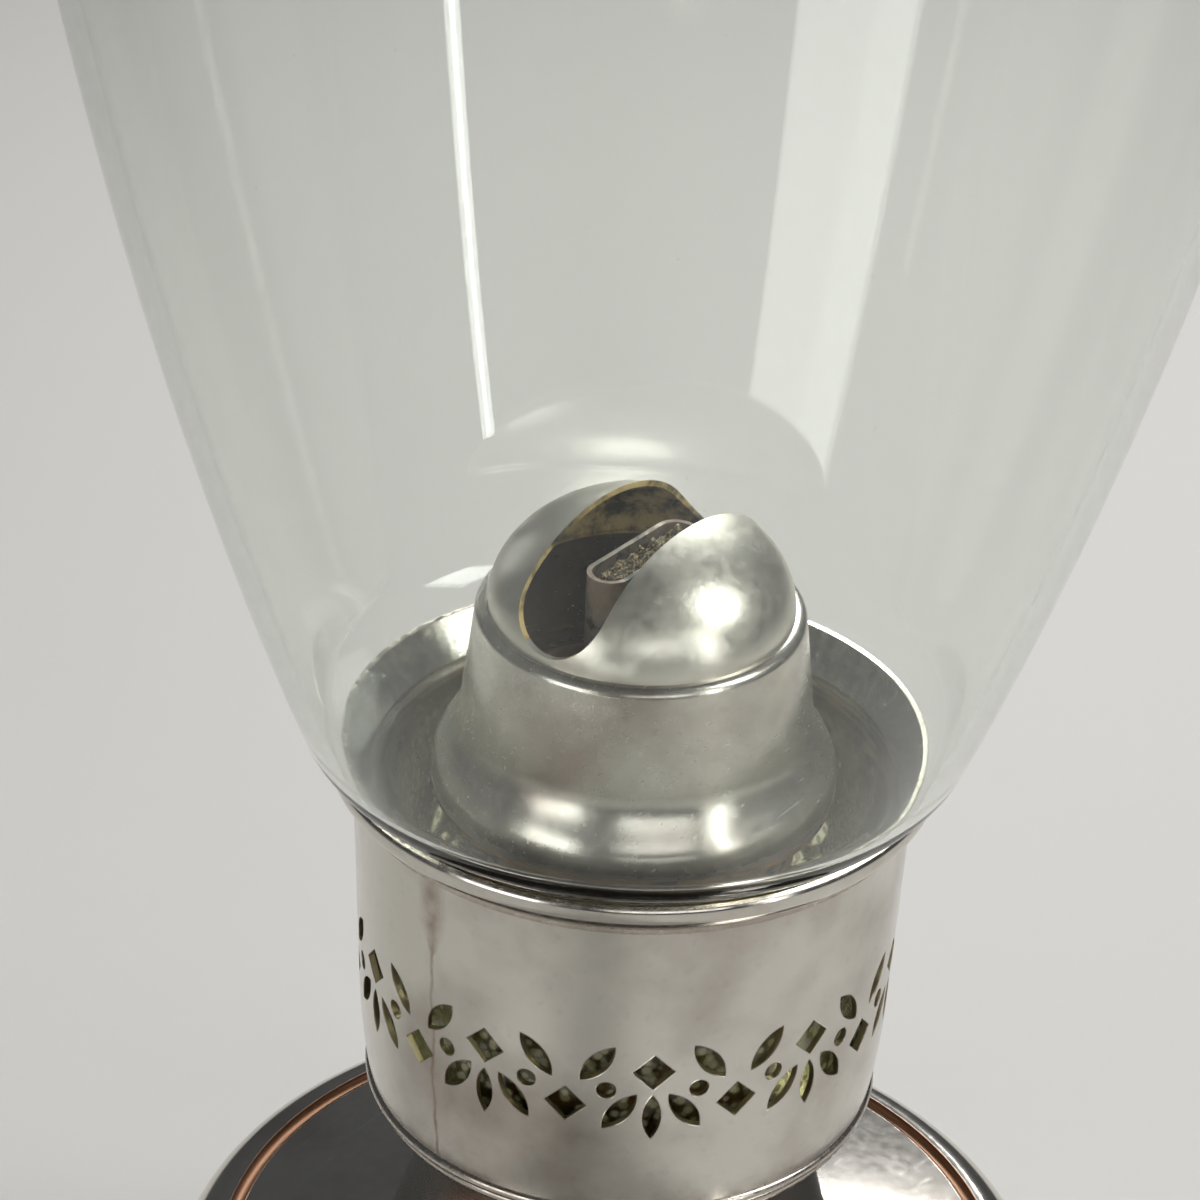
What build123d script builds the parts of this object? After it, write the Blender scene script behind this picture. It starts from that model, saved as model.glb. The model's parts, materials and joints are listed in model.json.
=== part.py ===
"""Silver-plated oil lamp with a flat-wick burner, a pierced gallery and a bell-shaped glass shade.

Millimetres, +Z up. The origin is the middle of the foot, on the table.
+X runs along the width of the wick, with the winder's knob on that side.
"""
import os
from math import cos, hypot, pi, sin, sqrt

from build123d import *

os.makedirs("parts", exist_ok=True)

# Fits and clearances
SOLDER_GAP = 0.05
PRESS_GAP = 0.01
RUNNING_GAP = 0.05
SCREW_GAP = 0.3
LIFT_GAP = 0.4

# Sheet and wall thicknesses
FONT_WALL = 1.2
NECK_WALL = 1.0
BAND_WALL = 0.8
CAP_WALL = 0.7
DRUM_WALL = 0.7
TUBE_WALL = 0.6
GLASS_WALL = 2.4
FLOOR_PLATE = 1.0

# Wick and its tube
WICK_WIDTH = 15.6
WICK_THICKNESS = 3.2
WICK_PLAY = 0.5
WICK_BELOW_MOUTH = 1.0
WICK_TAIL_ROOM = 9.0
TUBE_MOUTH = 29.6
TUBE_BELOW_PLUG = 2.0

# Reservoir: a squat round font on a cast foot
FONT_RADIUS = 55.0
SHOULDER_HEIGHT = 42.5
SHOULDER_ROUND = 6.0
GROOVE_WIDTH = 1.7
GROOVE_DEPTH = 0.7
TOP_RISE = 5.5
LAND_WIDTH = 5.0
BOWL_DEPTH = 34.0
BOWL_ROUND = 22.0
FOOT_SPREAD = 10.0
FOOT_SEAT = 4.0
FOOT_EDGE = 1.8

# Screwed joint between the font and the burner, sized outwards from the wick tube
PLUG_PLAY = 1.0
PLUG_WALL = 1.4
PLUG_DEPTH = 11.5
COLLAR_WALL = 3.0
COLLAR_DEPTH = 10.0
COLLAR_FLANGE = 3.8
FLANGE_THICKNESS = 1.2
SEAL_THICKNESS = 1.2
DECK_THICKNESS = 1.2

# Neck: a spool drawn in at its waist, closed by the deck below and the gallery floor above
NECK_CHAMBER = 21.6
NECK_INSET = 3.4
NECK_CURVE = 45.0
NECK_WAIST_DROP = 9.2

# Gallery: floor, double bead, tapered band and flared rim, sized from the foot of the band
BAND_FOOT_RADIUS = 30.7
BAND_HEIGHT = 40.8
BAND_CURVE_HEIGHT = 12.0
BAND_CURVE_SWELL = 1.2
BAND_TAPER = 1.1
RING_LEDGE = 1.9
RING_HEIGHT = 3.2
RING_WALL = 1.2
BEAD_RADIUS = 0.75
BEAD_STEP = 0.9
RIM_HEIGHT = 4.7
RIM_STEP_HEIGHT = 0.9
RIM_STEP = 0.9
RIM_FLARE = 3.1
RIM_LIP = 0.9
RIM_BULGE = 0.5

# Piercing: one repeat of leaves, lozenges, eyes and petals, set out from its upper lozenge
PIERCING_PITCH = 20.3
PIERCING_TURN = 7.6
PIERCING_HEIGHT = 20.6
PIERCING_START = 2.8
LOZENGE_SIDE = 3.5
LEAF_LENGTH = 6.4
LEAF_WIDTH = 2.5
LEAF_SPREAD = 6.45
LEAF_RISE = 1.0
LEAF_TILT = 53.0
EYE_DIAMETER = 2.3
EYE_SPREAD = 5.35
EYE_DROP = 2.7
PETAL_LENGTH = 6.4
PETAL_WIDTH = 2.5
PETAL_SPREAD = 3.75
PETAL_DROP = 5.7
PETAL_TILT = 53.0
MIDDLE_PETAL_WIDTH = 2.2
MIDDLE_PETAL_DROP = 6.45
SPACER_DROP = 5.2

# Shade: straight neck on lugs, round shoulder above the rim, long bell
SHADE_RESTS = 6
REST_HEIGHT = 3.0
REST_DEPTH = 2.6
REST_LENGTH = 7.0
SHADE_NECK_GAP = 0.3
SHADE_NECK_FLARE = 0.9
SHADE_NECK_HANDLE = 5.0
SHADE_OVERHANG = 3.5
SHADE_SHOULDER_RISE = 4.9
SHADE_SHOULDER_HANDLE = 4.5
SHADE_SLOPE = 0.389
SHADE_BELL_HANDLE = 45.7
SHADE_MOUTH_RADIUS = 75.3
SHADE_MOUTH_SLOPE = 0.095
SHADE_RISE = 160.0
SHOULDER_STEPS = 8
BELL_STEPS = 12

# Draught drum, and the burner cap on it: ogee foot, tapered skirt and slotted dome
CAP_LEVEL_RISE = 41.8
CAP_AIR_GAP = 3.2
CAP_FLARE = 3.3
CAP_FOOT_EDGE = 0.8
SKIRT_FLARE_HEIGHT = 9.5
SKIRT_TAPER = 1.4
SKIRT_HEIGHT = 22.7
SKIRT_ROUND = 1.3
DOME_INSET = 1.4
DOME_LEDGE = 1.0
DOME_HEIGHT = 12.8
SLOT_WIDTH = 11.6
SLOT_SILL = 0.9
DRUM_OVERLAP = 6.0
SEAT_THICKNESS = 1.0
SEAT_INSET = 0.2
AIR_HOLES = 18
AIR_HOLE_ROWS = 3
AIR_HOLE_DIAMETER = 3.4
AIR_HOLE_PITCH = 7.0
AIR_HOLE_LEVEL = 14.0
AIR_HOLE_CUT = 2.8

# Winder: spindle in a bracket, two spur wheels on it, and a knob outside the neck
SPINDLE_RADIUS = 1.2
WHEEL_RADIUS = 5.0
WHEEL_TEETH = 14
TOOTH_DEPTH = 1.1
WHEEL_THICKNESS = 1.4
WHEEL_SPACING = 8.0
WHEEL_GAP = 0.3
BRACKET_SHEET = 0.8
BRACKET_WIDTH = 6.0
LUG_THICKNESS = 1.2
LUG_ROOM = 4.2
RIVET_RADIUS = 0.8
RIVET_HEAD_RADIUS = 1.5
RIVET_HEAD_HEIGHT = 0.7
SPINDLE_COLLAR_RADIUS = 2.4
SPINDLE_COLLAR_WIDTH = 1.5
SPINDLE_STUB = 1.0
BUSH_WALL = 1.1
BUSH_FLANGE = 1.2
BUSH_FLANGE_WIDTH = 1.0
BUSH_REACH = 2.0
KNOB_RADIUS = 7.0
KNOB_WIDTH = 4.6
KNOB_ROUND = 0.6
KNOB_HUB_RADIUS = 3.0
KNOB_HUB_LENGTH = 2.0
KNOB_END_PLAY = 0.5
KNOB_FLUTES = 36
FLUTE_RADIUS = 0.35
SCREW_HEAD_RADIUS = 2.0
SCREW_HEAD_HEIGHT = 1.1
SCREW_RADIUS = 0.7
SCREW_LENGTH = 5.0
SCREW_SLOT_WIDTH = 0.5
SCREW_SLOT_DEPTH = 0.5
SCREW_SLOT_LENGTH = 6.0

# Sizes across the wick tube and the screwed joint
tube_width = WICK_WIDTH + 2 * (WICK_PLAY + TUBE_WALL)
tube_thickness = WICK_THICKNESS + 2 * (WICK_PLAY + TUBE_WALL)
plug_bore = tube_width / 2 + PLUG_PLAY
plug_radius = plug_bore + PLUG_WALL
collar_bore = plug_radius + SCREW_GAP
collar_radius = collar_bore + COLLAR_WALL
flange_radius = collar_radius + COLLAR_FLANGE
land_radius = collar_radius + LAND_WIDTH

# Sizes across the font
bowl_flat = FONT_RADIUS - BOWL_ROUND
groove_outer = FONT_RADIUS - SHOULDER_ROUND
groove_inner = groove_outer - GROOVE_WIDTH

# Levels, from the table up
font_bottom = SHOULDER_HEIGHT - BOWL_DEPTH
font_shelf = SHOULDER_HEIGHT + SHOULDER_ROUND
font_top = font_shelf + TOP_RISE
flange_top = font_top + FLANGE_THICKNESS
deck_bottom = flange_top + SEAL_THICKNESS
deck_top = deck_bottom + DECK_THICKNESS
plug_bottom = deck_bottom - PLUG_DEPTH
floor_bottom = deck_top + NECK_CHAMBER
floor_top = floor_bottom + FLOOR_PLATE
band_top = floor_top + BAND_HEIGHT
rim_top = band_top + RIM_HEIGHT
shade_bottom = floor_top + REST_HEIGHT
shade_top = rim_top + SHADE_RISE
cap_level = floor_top + CAP_LEVEL_RISE
dome_level = cap_level + SKIRT_HEIGHT
tube_bottom = plug_bottom - TUBE_BELOW_PLUG
tube_top = cap_level + TUBE_MOUTH
wick_top = tube_top - WICK_BELOW_MOUTH
wick_bottom = font_bottom + FONT_WALL + WICK_TAIL_ROOM

# Sizes across the gallery, the shade's neck and the cap, from the band inwards
band_waist_radius = BAND_FOOT_RADIUS + BAND_CURVE_SWELL
band_top_radius = band_waist_radius + BAND_TAPER
floor_radius = BAND_FOOT_RADIUS - BAND_WALL - RING_LEDGE
rim_radius = band_top_radius + RIM_FLARE
shade_neck_radius = BAND_FOOT_RADIUS - BAND_WALL - SHADE_NECK_GAP
shade_bore = shade_neck_radius - GLASS_WALL
cap_foot_radius = shade_bore - CAP_AIR_GAP
skirt_foot_radius = cap_foot_radius - CAP_FLARE
skirt_top_radius = skirt_foot_radius - SKIRT_TAPER
dome_radius = skirt_top_radius - DOME_INSET
drum_radius = skirt_foot_radius - CAP_WALL - LIFT_GAP

# Neck and winder
neck_waist = floor_radius - NECK_INSET
waist_level = floor_bottom - NECK_WAIST_DROP
spindle_y = WICK_THICKNESS / 2 + WHEEL_GAP + WHEEL_RADIUS
spindle_z = deck_top + BRACKET_SHEET + WHEEL_GAP + WHEEL_RADIUS
wheel_outer_x = (WHEEL_SPACING + WHEEL_THICKNESS) / 2
lug_inner_x = wheel_outer_x + LUG_ROOM
lug_outer_x = lug_inner_x + LUG_THICKNESS
rivet_x = (wheel_outer_x + lug_inner_x) / 2
bearing_radius = SPINDLE_RADIUS + RUNNING_GAP
bush_radius = bearing_radius + BUSH_WALL
bush_flange_radius = bush_radius + BUSH_FLANGE


def neck_radius(height):
    """Outer radius of the drawn-in neck at a height above the table."""
    return neck_waist + NECK_CURVE - sqrt(NECK_CURVE**2 - (height - waist_level) ** 2)


def font_surface(radius):
    """Height of the font's sloping top between its land and its groove."""
    return font_top - TOP_RISE * (radius - land_radius) / (groove_inner - land_radius)


def curve_inside(controls, thickness, steps):
    """Points a wall's thickness inside a cubic curve of a turned piece, measured square to the curve."""
    points = []
    for step in range(steps + 1):
        t = step / steps
        weights = ((1 - t) ** 3, 3 * t * (1 - t) ** 2, 3 * t * t * (1 - t), t**3)
        slopes = ((1 - t) ** 2, 2 * t * (1 - t), t * t)
        radius = sum(weight * point[0] for weight, point in zip(weights, controls))
        height = sum(weight * point[1] for weight, point in zip(weights, controls))
        run = sum(slope * (controls[i + 1][0] - controls[i][0]) for i, slope in enumerate(slopes))
        rise = sum(slope * (controls[i + 1][1] - controls[i][1]) for i, slope in enumerate(slopes))
        length = hypot(run, rise)
        points.append((radius - thickness * rise / length, height + thickness * run / length))
    return points


def navette(length, width):
    """A leaf-shaped opening: two arcs that meet in points."""
    with BuildSketch() as opening:
        with BuildLine():
            ThreePointArc((-length / 2, 0), (0, width / 2), (length / 2, 0))
            ThreePointArc((length / 2, 0), (0, -width / 2), (-length / 2, 0))
        make_face()
    return opening.sketch


def save(piece, name):
    """Labels a finished piece and writes it under its own name."""
    piece.part.label = name
    export_step(piece.part, f"parts/{name}.step")


# Lower bowl of the font: a quarter ellipse that closes in a flat bottom
with BuildPart() as font_lower_shell:
    with BuildSketch(Plane.XZ):
        with BuildLine():
            for inset in (0, FONT_WALL):
                EllipticalCenterArc(
                    (bowl_flat, SHOULDER_HEIGHT),
                    BOWL_ROUND - inset,
                    BOWL_DEPTH - inset,
                    start_angle=270,
                    arc_size=90,
                )
            Line((FONT_RADIUS, SHOULDER_HEIGHT), (FONT_RADIUS - FONT_WALL, SHOULDER_HEIGHT))
            Polyline(
                (bowl_flat, font_bottom + FONT_WALL),
                (0, font_bottom + FONT_WALL),
                (0, font_bottom),
                (bowl_flat, font_bottom),
            )
        make_face()
    revolve(axis=Axis.Z)
save(font_lower_shell, "font_lower_shell")

# Upper shell of the font: level land for the collar, sloping top, turned groove, rounded shoulder
with BuildPart() as font_upper_shell:
    font_mouth = collar_radius + SOLDER_GAP
    with BuildSketch(Plane.XZ):
        with BuildLine():
            Polyline(
                (font_mouth, font_top - FONT_WALL),
                (font_mouth, font_top),
                (land_radius, font_top),
                (groove_inner, font_shelf),
            )
            ThreePointArc(
                (groove_inner, font_shelf),
                (groove_inner + GROOVE_WIDTH / 2, font_shelf - GROOVE_DEPTH),
                (groove_outer, font_shelf),
            )
            CenterArc((groove_outer, SHOULDER_HEIGHT), SHOULDER_ROUND, 0, 90)
            Line((FONT_RADIUS, SHOULDER_HEIGHT), (FONT_RADIUS - FONT_WALL, SHOULDER_HEIGHT))
            CenterArc((groove_outer, SHOULDER_HEIGHT), SHOULDER_ROUND - FONT_WALL, 0, 90)
            Polyline(
                (groove_outer, font_shelf - FONT_WALL),
                (groove_inner, font_shelf - FONT_WALL),
                (land_radius, font_top - FONT_WALL),
                (font_mouth, font_top - FONT_WALL),
            )
        make_face()
    revolve(axis=Axis.Z)
save(font_upper_shell, "font_upper_shell")

# Cast foot: a ring with a hollow-curved outside, soldered under the flat of the bowl
with BuildPart() as foot_ring:
    foot_radius = bowl_flat + FOOT_SPREAD
    foot_bore = bowl_flat - FOOT_SEAT
    with BuildSketch(Plane.XZ):
        with BuildLine():
            Polyline(
                (foot_radius, FOOT_EDGE),
                (foot_radius, 0),
                (foot_bore, 0),
                (foot_bore, font_bottom),
                (bowl_flat, font_bottom),
            )
            ThreePointArc(
                (bowl_flat, font_bottom),
                (bowl_flat + FOOT_SPREAD / 4, FOOT_EDGE + (font_bottom - FOOT_EDGE) / 3),
                (foot_radius, FOOT_EDGE),
            )
        make_face()
    revolve(axis=Axis.Z)
save(foot_ring, "foot_ring")

# Collar in the font's mouth, with the bore that the burner's plug screws into
with BuildPart() as font_collar:
    with BuildSketch(Plane.XY.offset(font_top)):
        Circle(collar_radius)
        Circle(collar_bore, mode=Mode.SUBTRACT)
    extrude(amount=-COLLAR_DEPTH)
    with BuildSketch(Plane.XY.offset(font_top)):
        Circle(flange_radius)
        Circle(collar_bore, mode=Mode.SUBTRACT)
    extrude(amount=FLANGE_THICKNESS)
save(font_collar, "font_collar")

# Washer between the collar's flange and the burner's deck
with BuildPart() as seal_ring:
    with BuildSketch(Plane.XY.offset(flange_top)):
        Circle(flange_radius - SCREW_GAP)
        Circle(collar_bore, mode=Mode.SUBTRACT)
    extrude(amount=SEAL_THICKNESS)
save(seal_ring, "seal_ring")

# Burner collar: hollow plug below, deck above, with the slot that the wick tube is brazed into
with BuildPart() as burner_collar:
    deck_radius = neck_radius(deck_top) - NECK_WALL - SOLDER_GAP
    with BuildSketch(Plane.XY.offset(plug_bottom)):
        Circle(plug_radius)
        Circle(plug_bore, mode=Mode.SUBTRACT)
    extrude(amount=PLUG_DEPTH)
    with BuildSketch(Plane.XY.offset(deck_bottom)):
        Circle(deck_radius)
        SlotOverall(tube_width + 2 * SOLDER_GAP, tube_thickness + 2 * SOLDER_GAP, mode=Mode.SUBTRACT)
        with Locations((-rivet_x, spindle_y), (rivet_x, spindle_y)):
            Circle(RIVET_RADIUS + PRESS_GAP, mode=Mode.SUBTRACT)
    extrude(amount=DECK_THICKNESS)
save(burner_collar, "burner_collar")

# Neck: a drawn-in sheet spool with a flange under the gallery floor and a hole for the spindle's bush
with BuildPart() as neck:
    neck_bottom = font_surface(neck_radius(font_top) - NECK_WALL) + LIFT_GAP
    neck_middle = (neck_bottom + floor_bottom) / 2
    outer_ends = [(neck_radius(level), level) for level in (neck_bottom, neck_middle, floor_bottom)]
    inner_ends = [(radius - NECK_WALL, level) for radius, level in outer_ends]
    with BuildSketch(Plane.XZ):
        with BuildLine():
            ThreePointArc(*outer_ends)
            ThreePointArc(*inner_ends)
            Line(outer_ends[0], inner_ends[0])
            Line(outer_ends[-1], inner_ends[-1])
        make_face()
    revolve(axis=Axis.Z)
    with BuildSketch(Plane.XY.offset(floor_bottom)):
        Circle(floor_radius - LIFT_GAP)
        Circle(inner_ends[-1][0], mode=Mode.SUBTRACT)
    extrude(amount=-FLOOR_PLATE)
    with BuildSketch(Plane.YZ):
        with Locations((spindle_y, spindle_z)):
            Circle(bush_radius + SOLDER_GAP)
    extrude(amount=FONT_RADIUS, mode=Mode.SUBTRACT)
save(neck, "neck")

# Bush in the wall of the neck, with a flange outside
neck_face_x = sqrt(neck_radius(spindle_z) ** 2 - spindle_y**2)
bush_flange_x = neck_radius(spindle_z - bush_flange_radius)
bush_end_x = bush_flange_x + BUSH_FLANGE_WIDTH
with BuildPart() as spindle_bush:
    bush_start_x = neck_face_x - NECK_WALL - BUSH_REACH
    with BuildSketch(Plane.YZ.offset(bush_start_x)):
        with Locations((spindle_y, spindle_z)):
            Circle(bush_radius)
            Circle(bearing_radius, mode=Mode.SUBTRACT)
    extrude(amount=bush_end_x - bush_start_x)
    with BuildSketch(Plane.YZ.offset(bush_flange_x)):
        with Locations((spindle_y, spindle_z)):
            Circle(bush_flange_radius)
            Circle(bearing_radius, mode=Mode.SUBTRACT)
    extrude(amount=BUSH_FLANGE_WIDTH)
save(spindle_bush, "spindle_bush")

# Bracket on the deck: a strip with a rounded bearing lug at each end
with BuildPart() as winder_bracket:
    strip_y = spindle_y - BRACKET_WIDTH / 2
    with BuildSketch(Plane.XY.offset(deck_top)):
        with Locations((0, spindle_y)):
            Rectangle(2 * lug_outer_x, BRACKET_WIDTH)
        with Locations((-rivet_x, spindle_y), (rivet_x, spindle_y)):
            Circle(RIVET_RADIUS + PRESS_GAP, mode=Mode.SUBTRACT)
    extrude(amount=BRACKET_SHEET)
    for lug_start_x in (-lug_outer_x, lug_inner_x):
        with BuildSketch(Plane.YZ.offset(lug_start_x)):
            with Locations((strip_y, deck_top)):
                Rectangle(BRACKET_WIDTH, spindle_z - deck_top, align=(Align.MIN, Align.MIN))
            with Locations((spindle_y, spindle_z)):
                Circle(BRACKET_WIDTH / 2)
                Circle(bearing_radius, mode=Mode.SUBTRACT)
        extrude(amount=LUG_THICKNESS)
save(winder_bracket, "winder_bracket")

# Rivets through the bracket's strip and the deck, flush below
with BuildPart() as bracket_rivets:
    rivet_places = [(-rivet_x, spindle_y), (rivet_x, spindle_y)]
    with BuildSketch(Plane.XY.offset(deck_bottom)):
        with Locations(rivet_places):
            Circle(RIVET_RADIUS)
    extrude(amount=DECK_THICKNESS + BRACKET_SHEET)
    with BuildSketch(Plane.XY.offset(deck_top + BRACKET_SHEET)):
        with Locations(rivet_places):
            Circle(RIVET_HEAD_RADIUS)
    extrude(amount=RIVET_HEAD_HEIGHT)
    fillet(bracket_rivets.faces().sort_by(Axis.Z)[-2:].edges(), RIVET_HEAD_HEIGHT / 2)
save(bracket_rivets, "bracket_rivets")

# Flat wick tube, with a window for each spur wheel
with BuildPart() as wick_tube:
    window_half = sqrt(WHEEL_RADIUS**2 - (spindle_y - tube_thickness / 2) ** 2)
    with BuildSketch(Plane.XY.offset(tube_bottom)):
        SlotOverall(tube_width, tube_thickness)
        SlotOverall(tube_width - 2 * TUBE_WALL, tube_thickness - 2 * TUBE_WALL, mode=Mode.SUBTRACT)
    extrude(amount=tube_top - tube_bottom)
    with BuildSketch(Plane.XZ):
        with Locations((-WHEEL_SPACING / 2, spindle_z), (WHEEL_SPACING / 2, spindle_z)):
            Rectangle(WHEEL_THICKNESS + 2 * WHEEL_GAP, 2 * (window_half + WHEEL_GAP))
    extrude(amount=-tube_thickness, mode=Mode.SUBTRACT)
save(wick_tube, "wick_tube")

# Woven wick: a flat ribbon from the tube's mouth down into the oil
with BuildPart() as wick:
    with BuildSketch(Plane.XY.offset(wick_bottom)):
        SlotOverall(WICK_WIDTH, WICK_THICKNESS)
    extrude(amount=wick_top - wick_bottom)
save(wick, "wick")

# Spur wheels that grip the wick through the windows
with BuildPart() as spur_wheels:
    star = []
    for step in range(2 * WHEEL_TEETH):
        reach = WHEEL_RADIUS - TOOTH_DEPTH * (step % 2)
        angle = pi * step / WHEEL_TEETH
        star.append((spindle_y + reach * cos(angle), spindle_z + reach * sin(angle)))
    for wheel_x in (-WHEEL_SPACING / 2, WHEEL_SPACING / 2):
        with BuildSketch(Plane.YZ.offset(wheel_x - WHEEL_THICKNESS / 2)):
            with BuildLine():
                Polyline(*star, close=True)
            make_face()
            with Locations((spindle_y, spindle_z)):
                Circle(SPINDLE_RADIUS + PRESS_GAP, mode=Mode.SUBTRACT)
        extrude(amount=WHEEL_THICKNESS)
save(spur_wheels, "spur_wheels")

# Collar that keeps the spindle in its bracket
collar_inner_x = -lug_outer_x - RUNNING_GAP
collar_outer_x = collar_inner_x - SPINDLE_COLLAR_WIDTH
with BuildPart() as spindle_collar:
    with BuildSketch(Plane.YZ.offset(collar_outer_x)):
        with Locations((spindle_y, spindle_z)):
            Circle(SPINDLE_COLLAR_RADIUS)
            Circle(SPINDLE_RADIUS + PRESS_GAP, mode=Mode.SUBTRACT)
    extrude(amount=SPINDLE_COLLAR_WIDTH)
save(spindle_collar, "spindle_collar")

# Spindle, drilled at the knob's end for the screw
hub_x = bush_end_x + KNOB_END_PLAY
rim_x = hub_x + KNOB_HUB_LENGTH
knob_face_x = rim_x + KNOB_WIDTH
with BuildPart() as winder_spindle:
    spindle_start_x = collar_outer_x - SPINDLE_STUB
    with BuildSketch(Plane.YZ.offset(spindle_start_x)):
        with Locations((spindle_y, spindle_z)):
            Circle(SPINDLE_RADIUS)
    extrude(amount=knob_face_x - spindle_start_x)
    with BuildSketch(Plane.YZ.offset(knob_face_x)):
        with Locations((spindle_y, spindle_z)):
            Circle(SCREW_RADIUS + PRESS_GAP)
    extrude(amount=-SCREW_LENGTH, mode=Mode.SUBTRACT)
save(winder_spindle, "winder_spindle")

# Milled knob with a hub
with BuildPart() as winder_knob:
    with BuildSketch(Plane.YZ.offset(rim_x)):
        with Locations((spindle_y, spindle_z)):
            Circle(KNOB_RADIUS)
    extrude(amount=KNOB_WIDTH)
    fillet(winder_knob.edges().filter_by(GeomType.CIRCLE), KNOB_ROUND)
    with BuildSketch(Plane.YZ.offset(hub_x)):
        with Locations((spindle_y, spindle_z)):
            Circle(KNOB_HUB_RADIUS)
    extrude(amount=KNOB_HUB_LENGTH)
    with BuildSketch(Plane.YZ.offset(hub_x)):
        with Locations((spindle_y, spindle_z)):
            Circle(SPINDLE_RADIUS + PRESS_GAP)
            with PolarLocations(KNOB_RADIUS, KNOB_FLUTES):
                Circle(FLUTE_RADIUS)
    extrude(amount=knob_face_x - hub_x, mode=Mode.SUBTRACT)
save(winder_knob, "winder_knob")

# Slotted screw in the end of the spindle
with BuildPart() as knob_screw:
    with BuildSketch(Plane.YZ.offset(knob_face_x)):
        with Locations((spindle_y, spindle_z)):
            Circle(SCREW_RADIUS)
    extrude(amount=-SCREW_LENGTH)
    with BuildSketch(Plane.YZ.offset(knob_face_x)):
        with Locations((spindle_y, spindle_z)):
            Circle(SCREW_HEAD_RADIUS)
    extrude(amount=SCREW_HEAD_HEIGHT)
    with BuildSketch(Plane.YZ.offset(knob_face_x + SCREW_HEAD_HEIGHT)):
        with Locations((spindle_y, spindle_z)):
            Rectangle(SCREW_SLOT_WIDTH, SCREW_SLOT_LENGTH)
    extrude(amount=-SCREW_SLOT_DEPTH, mode=Mode.SUBTRACT)
save(knob_screw, "knob_screw")

# Gallery floor, brazed round the wick tube
with BuildPart() as gallery_floor:
    with BuildSketch(Plane.XY.offset(floor_bottom)):
        Circle(floor_radius)
        SlotOverall(tube_width + 2 * SOLDER_GAP, tube_thickness + 2 * SOLDER_GAP, mode=Mode.SUBTRACT)
    extrude(amount=FLOOR_PLATE)
save(gallery_floor, "gallery_floor")

# Double bead round the floor, under the band
with BuildPart() as gallery_bottom_ring:
    ring_bore = floor_radius + SOLDER_GAP
    upper_bead_radius = BAND_FOOT_RADIUS - BEAD_RADIUS / 2
    lower_bead_radius = upper_bead_radius - BEAD_STEP
    upper_bead_level = floor_top - BEAD_RADIUS
    lower_bead_level = floor_top - RING_HEIGHT + BEAD_RADIUS
    with BuildSketch(Plane.XZ):
        with BuildLine():
            CenterArc((upper_bead_radius, upper_bead_level), BEAD_RADIUS, -90, 180)
            CenterArc((lower_bead_radius, lower_bead_level), BEAD_RADIUS, -90, 180)
            Polyline(
                (upper_bead_radius, floor_top),
                (ring_bore, floor_top),
                (ring_bore, floor_top - RING_HEIGHT),
                (lower_bead_radius, floor_top - RING_HEIGHT),
            )
            Polyline(
                (upper_bead_radius, upper_bead_level - BEAD_RADIUS),
                (lower_bead_radius, upper_bead_level - BEAD_RADIUS),
                (lower_bead_radius, lower_bead_level + BEAD_RADIUS),
            )
        make_face()
    revolve(axis=Axis.Z)
save(gallery_bottom_ring, "gallery_bottom_ring")

# Pierced band: tapered sheet that curves in to its foot
leaf = navette(LEAF_LENGTH, LEAF_WIDTH)
petal = navette(PETAL_LENGTH, PETAL_WIDTH)
middle_petal = navette(PETAL_LENGTH, MIDDLE_PETAL_WIDTH)
with BuildPart() as gallery_band:
    curve_level = floor_top + BAND_CURVE_HEIGHT
    slope = (BAND_TAPER, band_top - curve_level)
    with BuildSketch(Plane.XZ):
        with BuildLine():
            for inset in (0, BAND_WALL):
                Line((band_top_radius - inset, band_top), (band_waist_radius - inset, curve_level))
                TangentArc(
                    (band_waist_radius - inset, curve_level),
                    (BAND_FOOT_RADIUS - inset, floor_top),
                    tangent=(-slope[0], -slope[1]),
                )
            Line((band_top_radius, band_top), (band_top_radius - BAND_WALL, band_top))
            Line((BAND_FOOT_RADIUS, floor_top), (BAND_FOOT_RADIUS - BAND_WALL, floor_top))
        make_face()
    revolve(axis=Axis.Z)
    piercing_repeats = round(2 * pi * band_waist_radius / PIERCING_PITCH)
    repeat_angle = 360 / piercing_repeats
    start_radius = BAND_FOOT_RADIUS - PIERCING_START
    for repeat in range(piercing_repeats):
        turn = PIERCING_TURN + repeat * repeat_angle
        face = Plane.XY.rotated((0, 0, turn)).offset(floor_top + PIERCING_HEIGHT)
        tangent_plane = Plane(origin=face.origin, x_dir=face.y_dir, z_dir=face.x_dir).offset(start_radius)
        with BuildSketch(tangent_plane):
            Rectangle(LOZENGE_SIDE, LOZENGE_SIDE, rotation=45)
            for side in (-1, 1):
                with Locations(Location((side * LEAF_SPREAD, LEAF_RISE), -side * LEAF_TILT)):
                    add(leaf)
                with Locations((side * EYE_SPREAD, -EYE_DROP)):
                    Circle(EYE_DIAMETER / 2)
                with Locations(Location((side * PETAL_SPREAD, -PETAL_DROP), -side * PETAL_TILT)):
                    add(petal)
            with Locations(Location((0, -MIDDLE_PETAL_DROP), 90)):
                add(middle_petal)
        face = Plane.XY.rotated((0, 0, turn + repeat_angle / 2)).offset(floor_top + PIERCING_HEIGHT)
        between_plane = Plane(origin=face.origin, x_dir=face.y_dir, z_dir=face.x_dir).offset(start_radius)
        with BuildSketch(between_plane):
            with Locations((0, -SPACER_DROP)):
                Rectangle(LOZENGE_SIDE, LOZENGE_SIDE, rotation=45)
    extrude(amount=band_top_radius - start_radius, mode=Mode.SUBTRACT)
save(gallery_band, "gallery_band")

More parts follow.
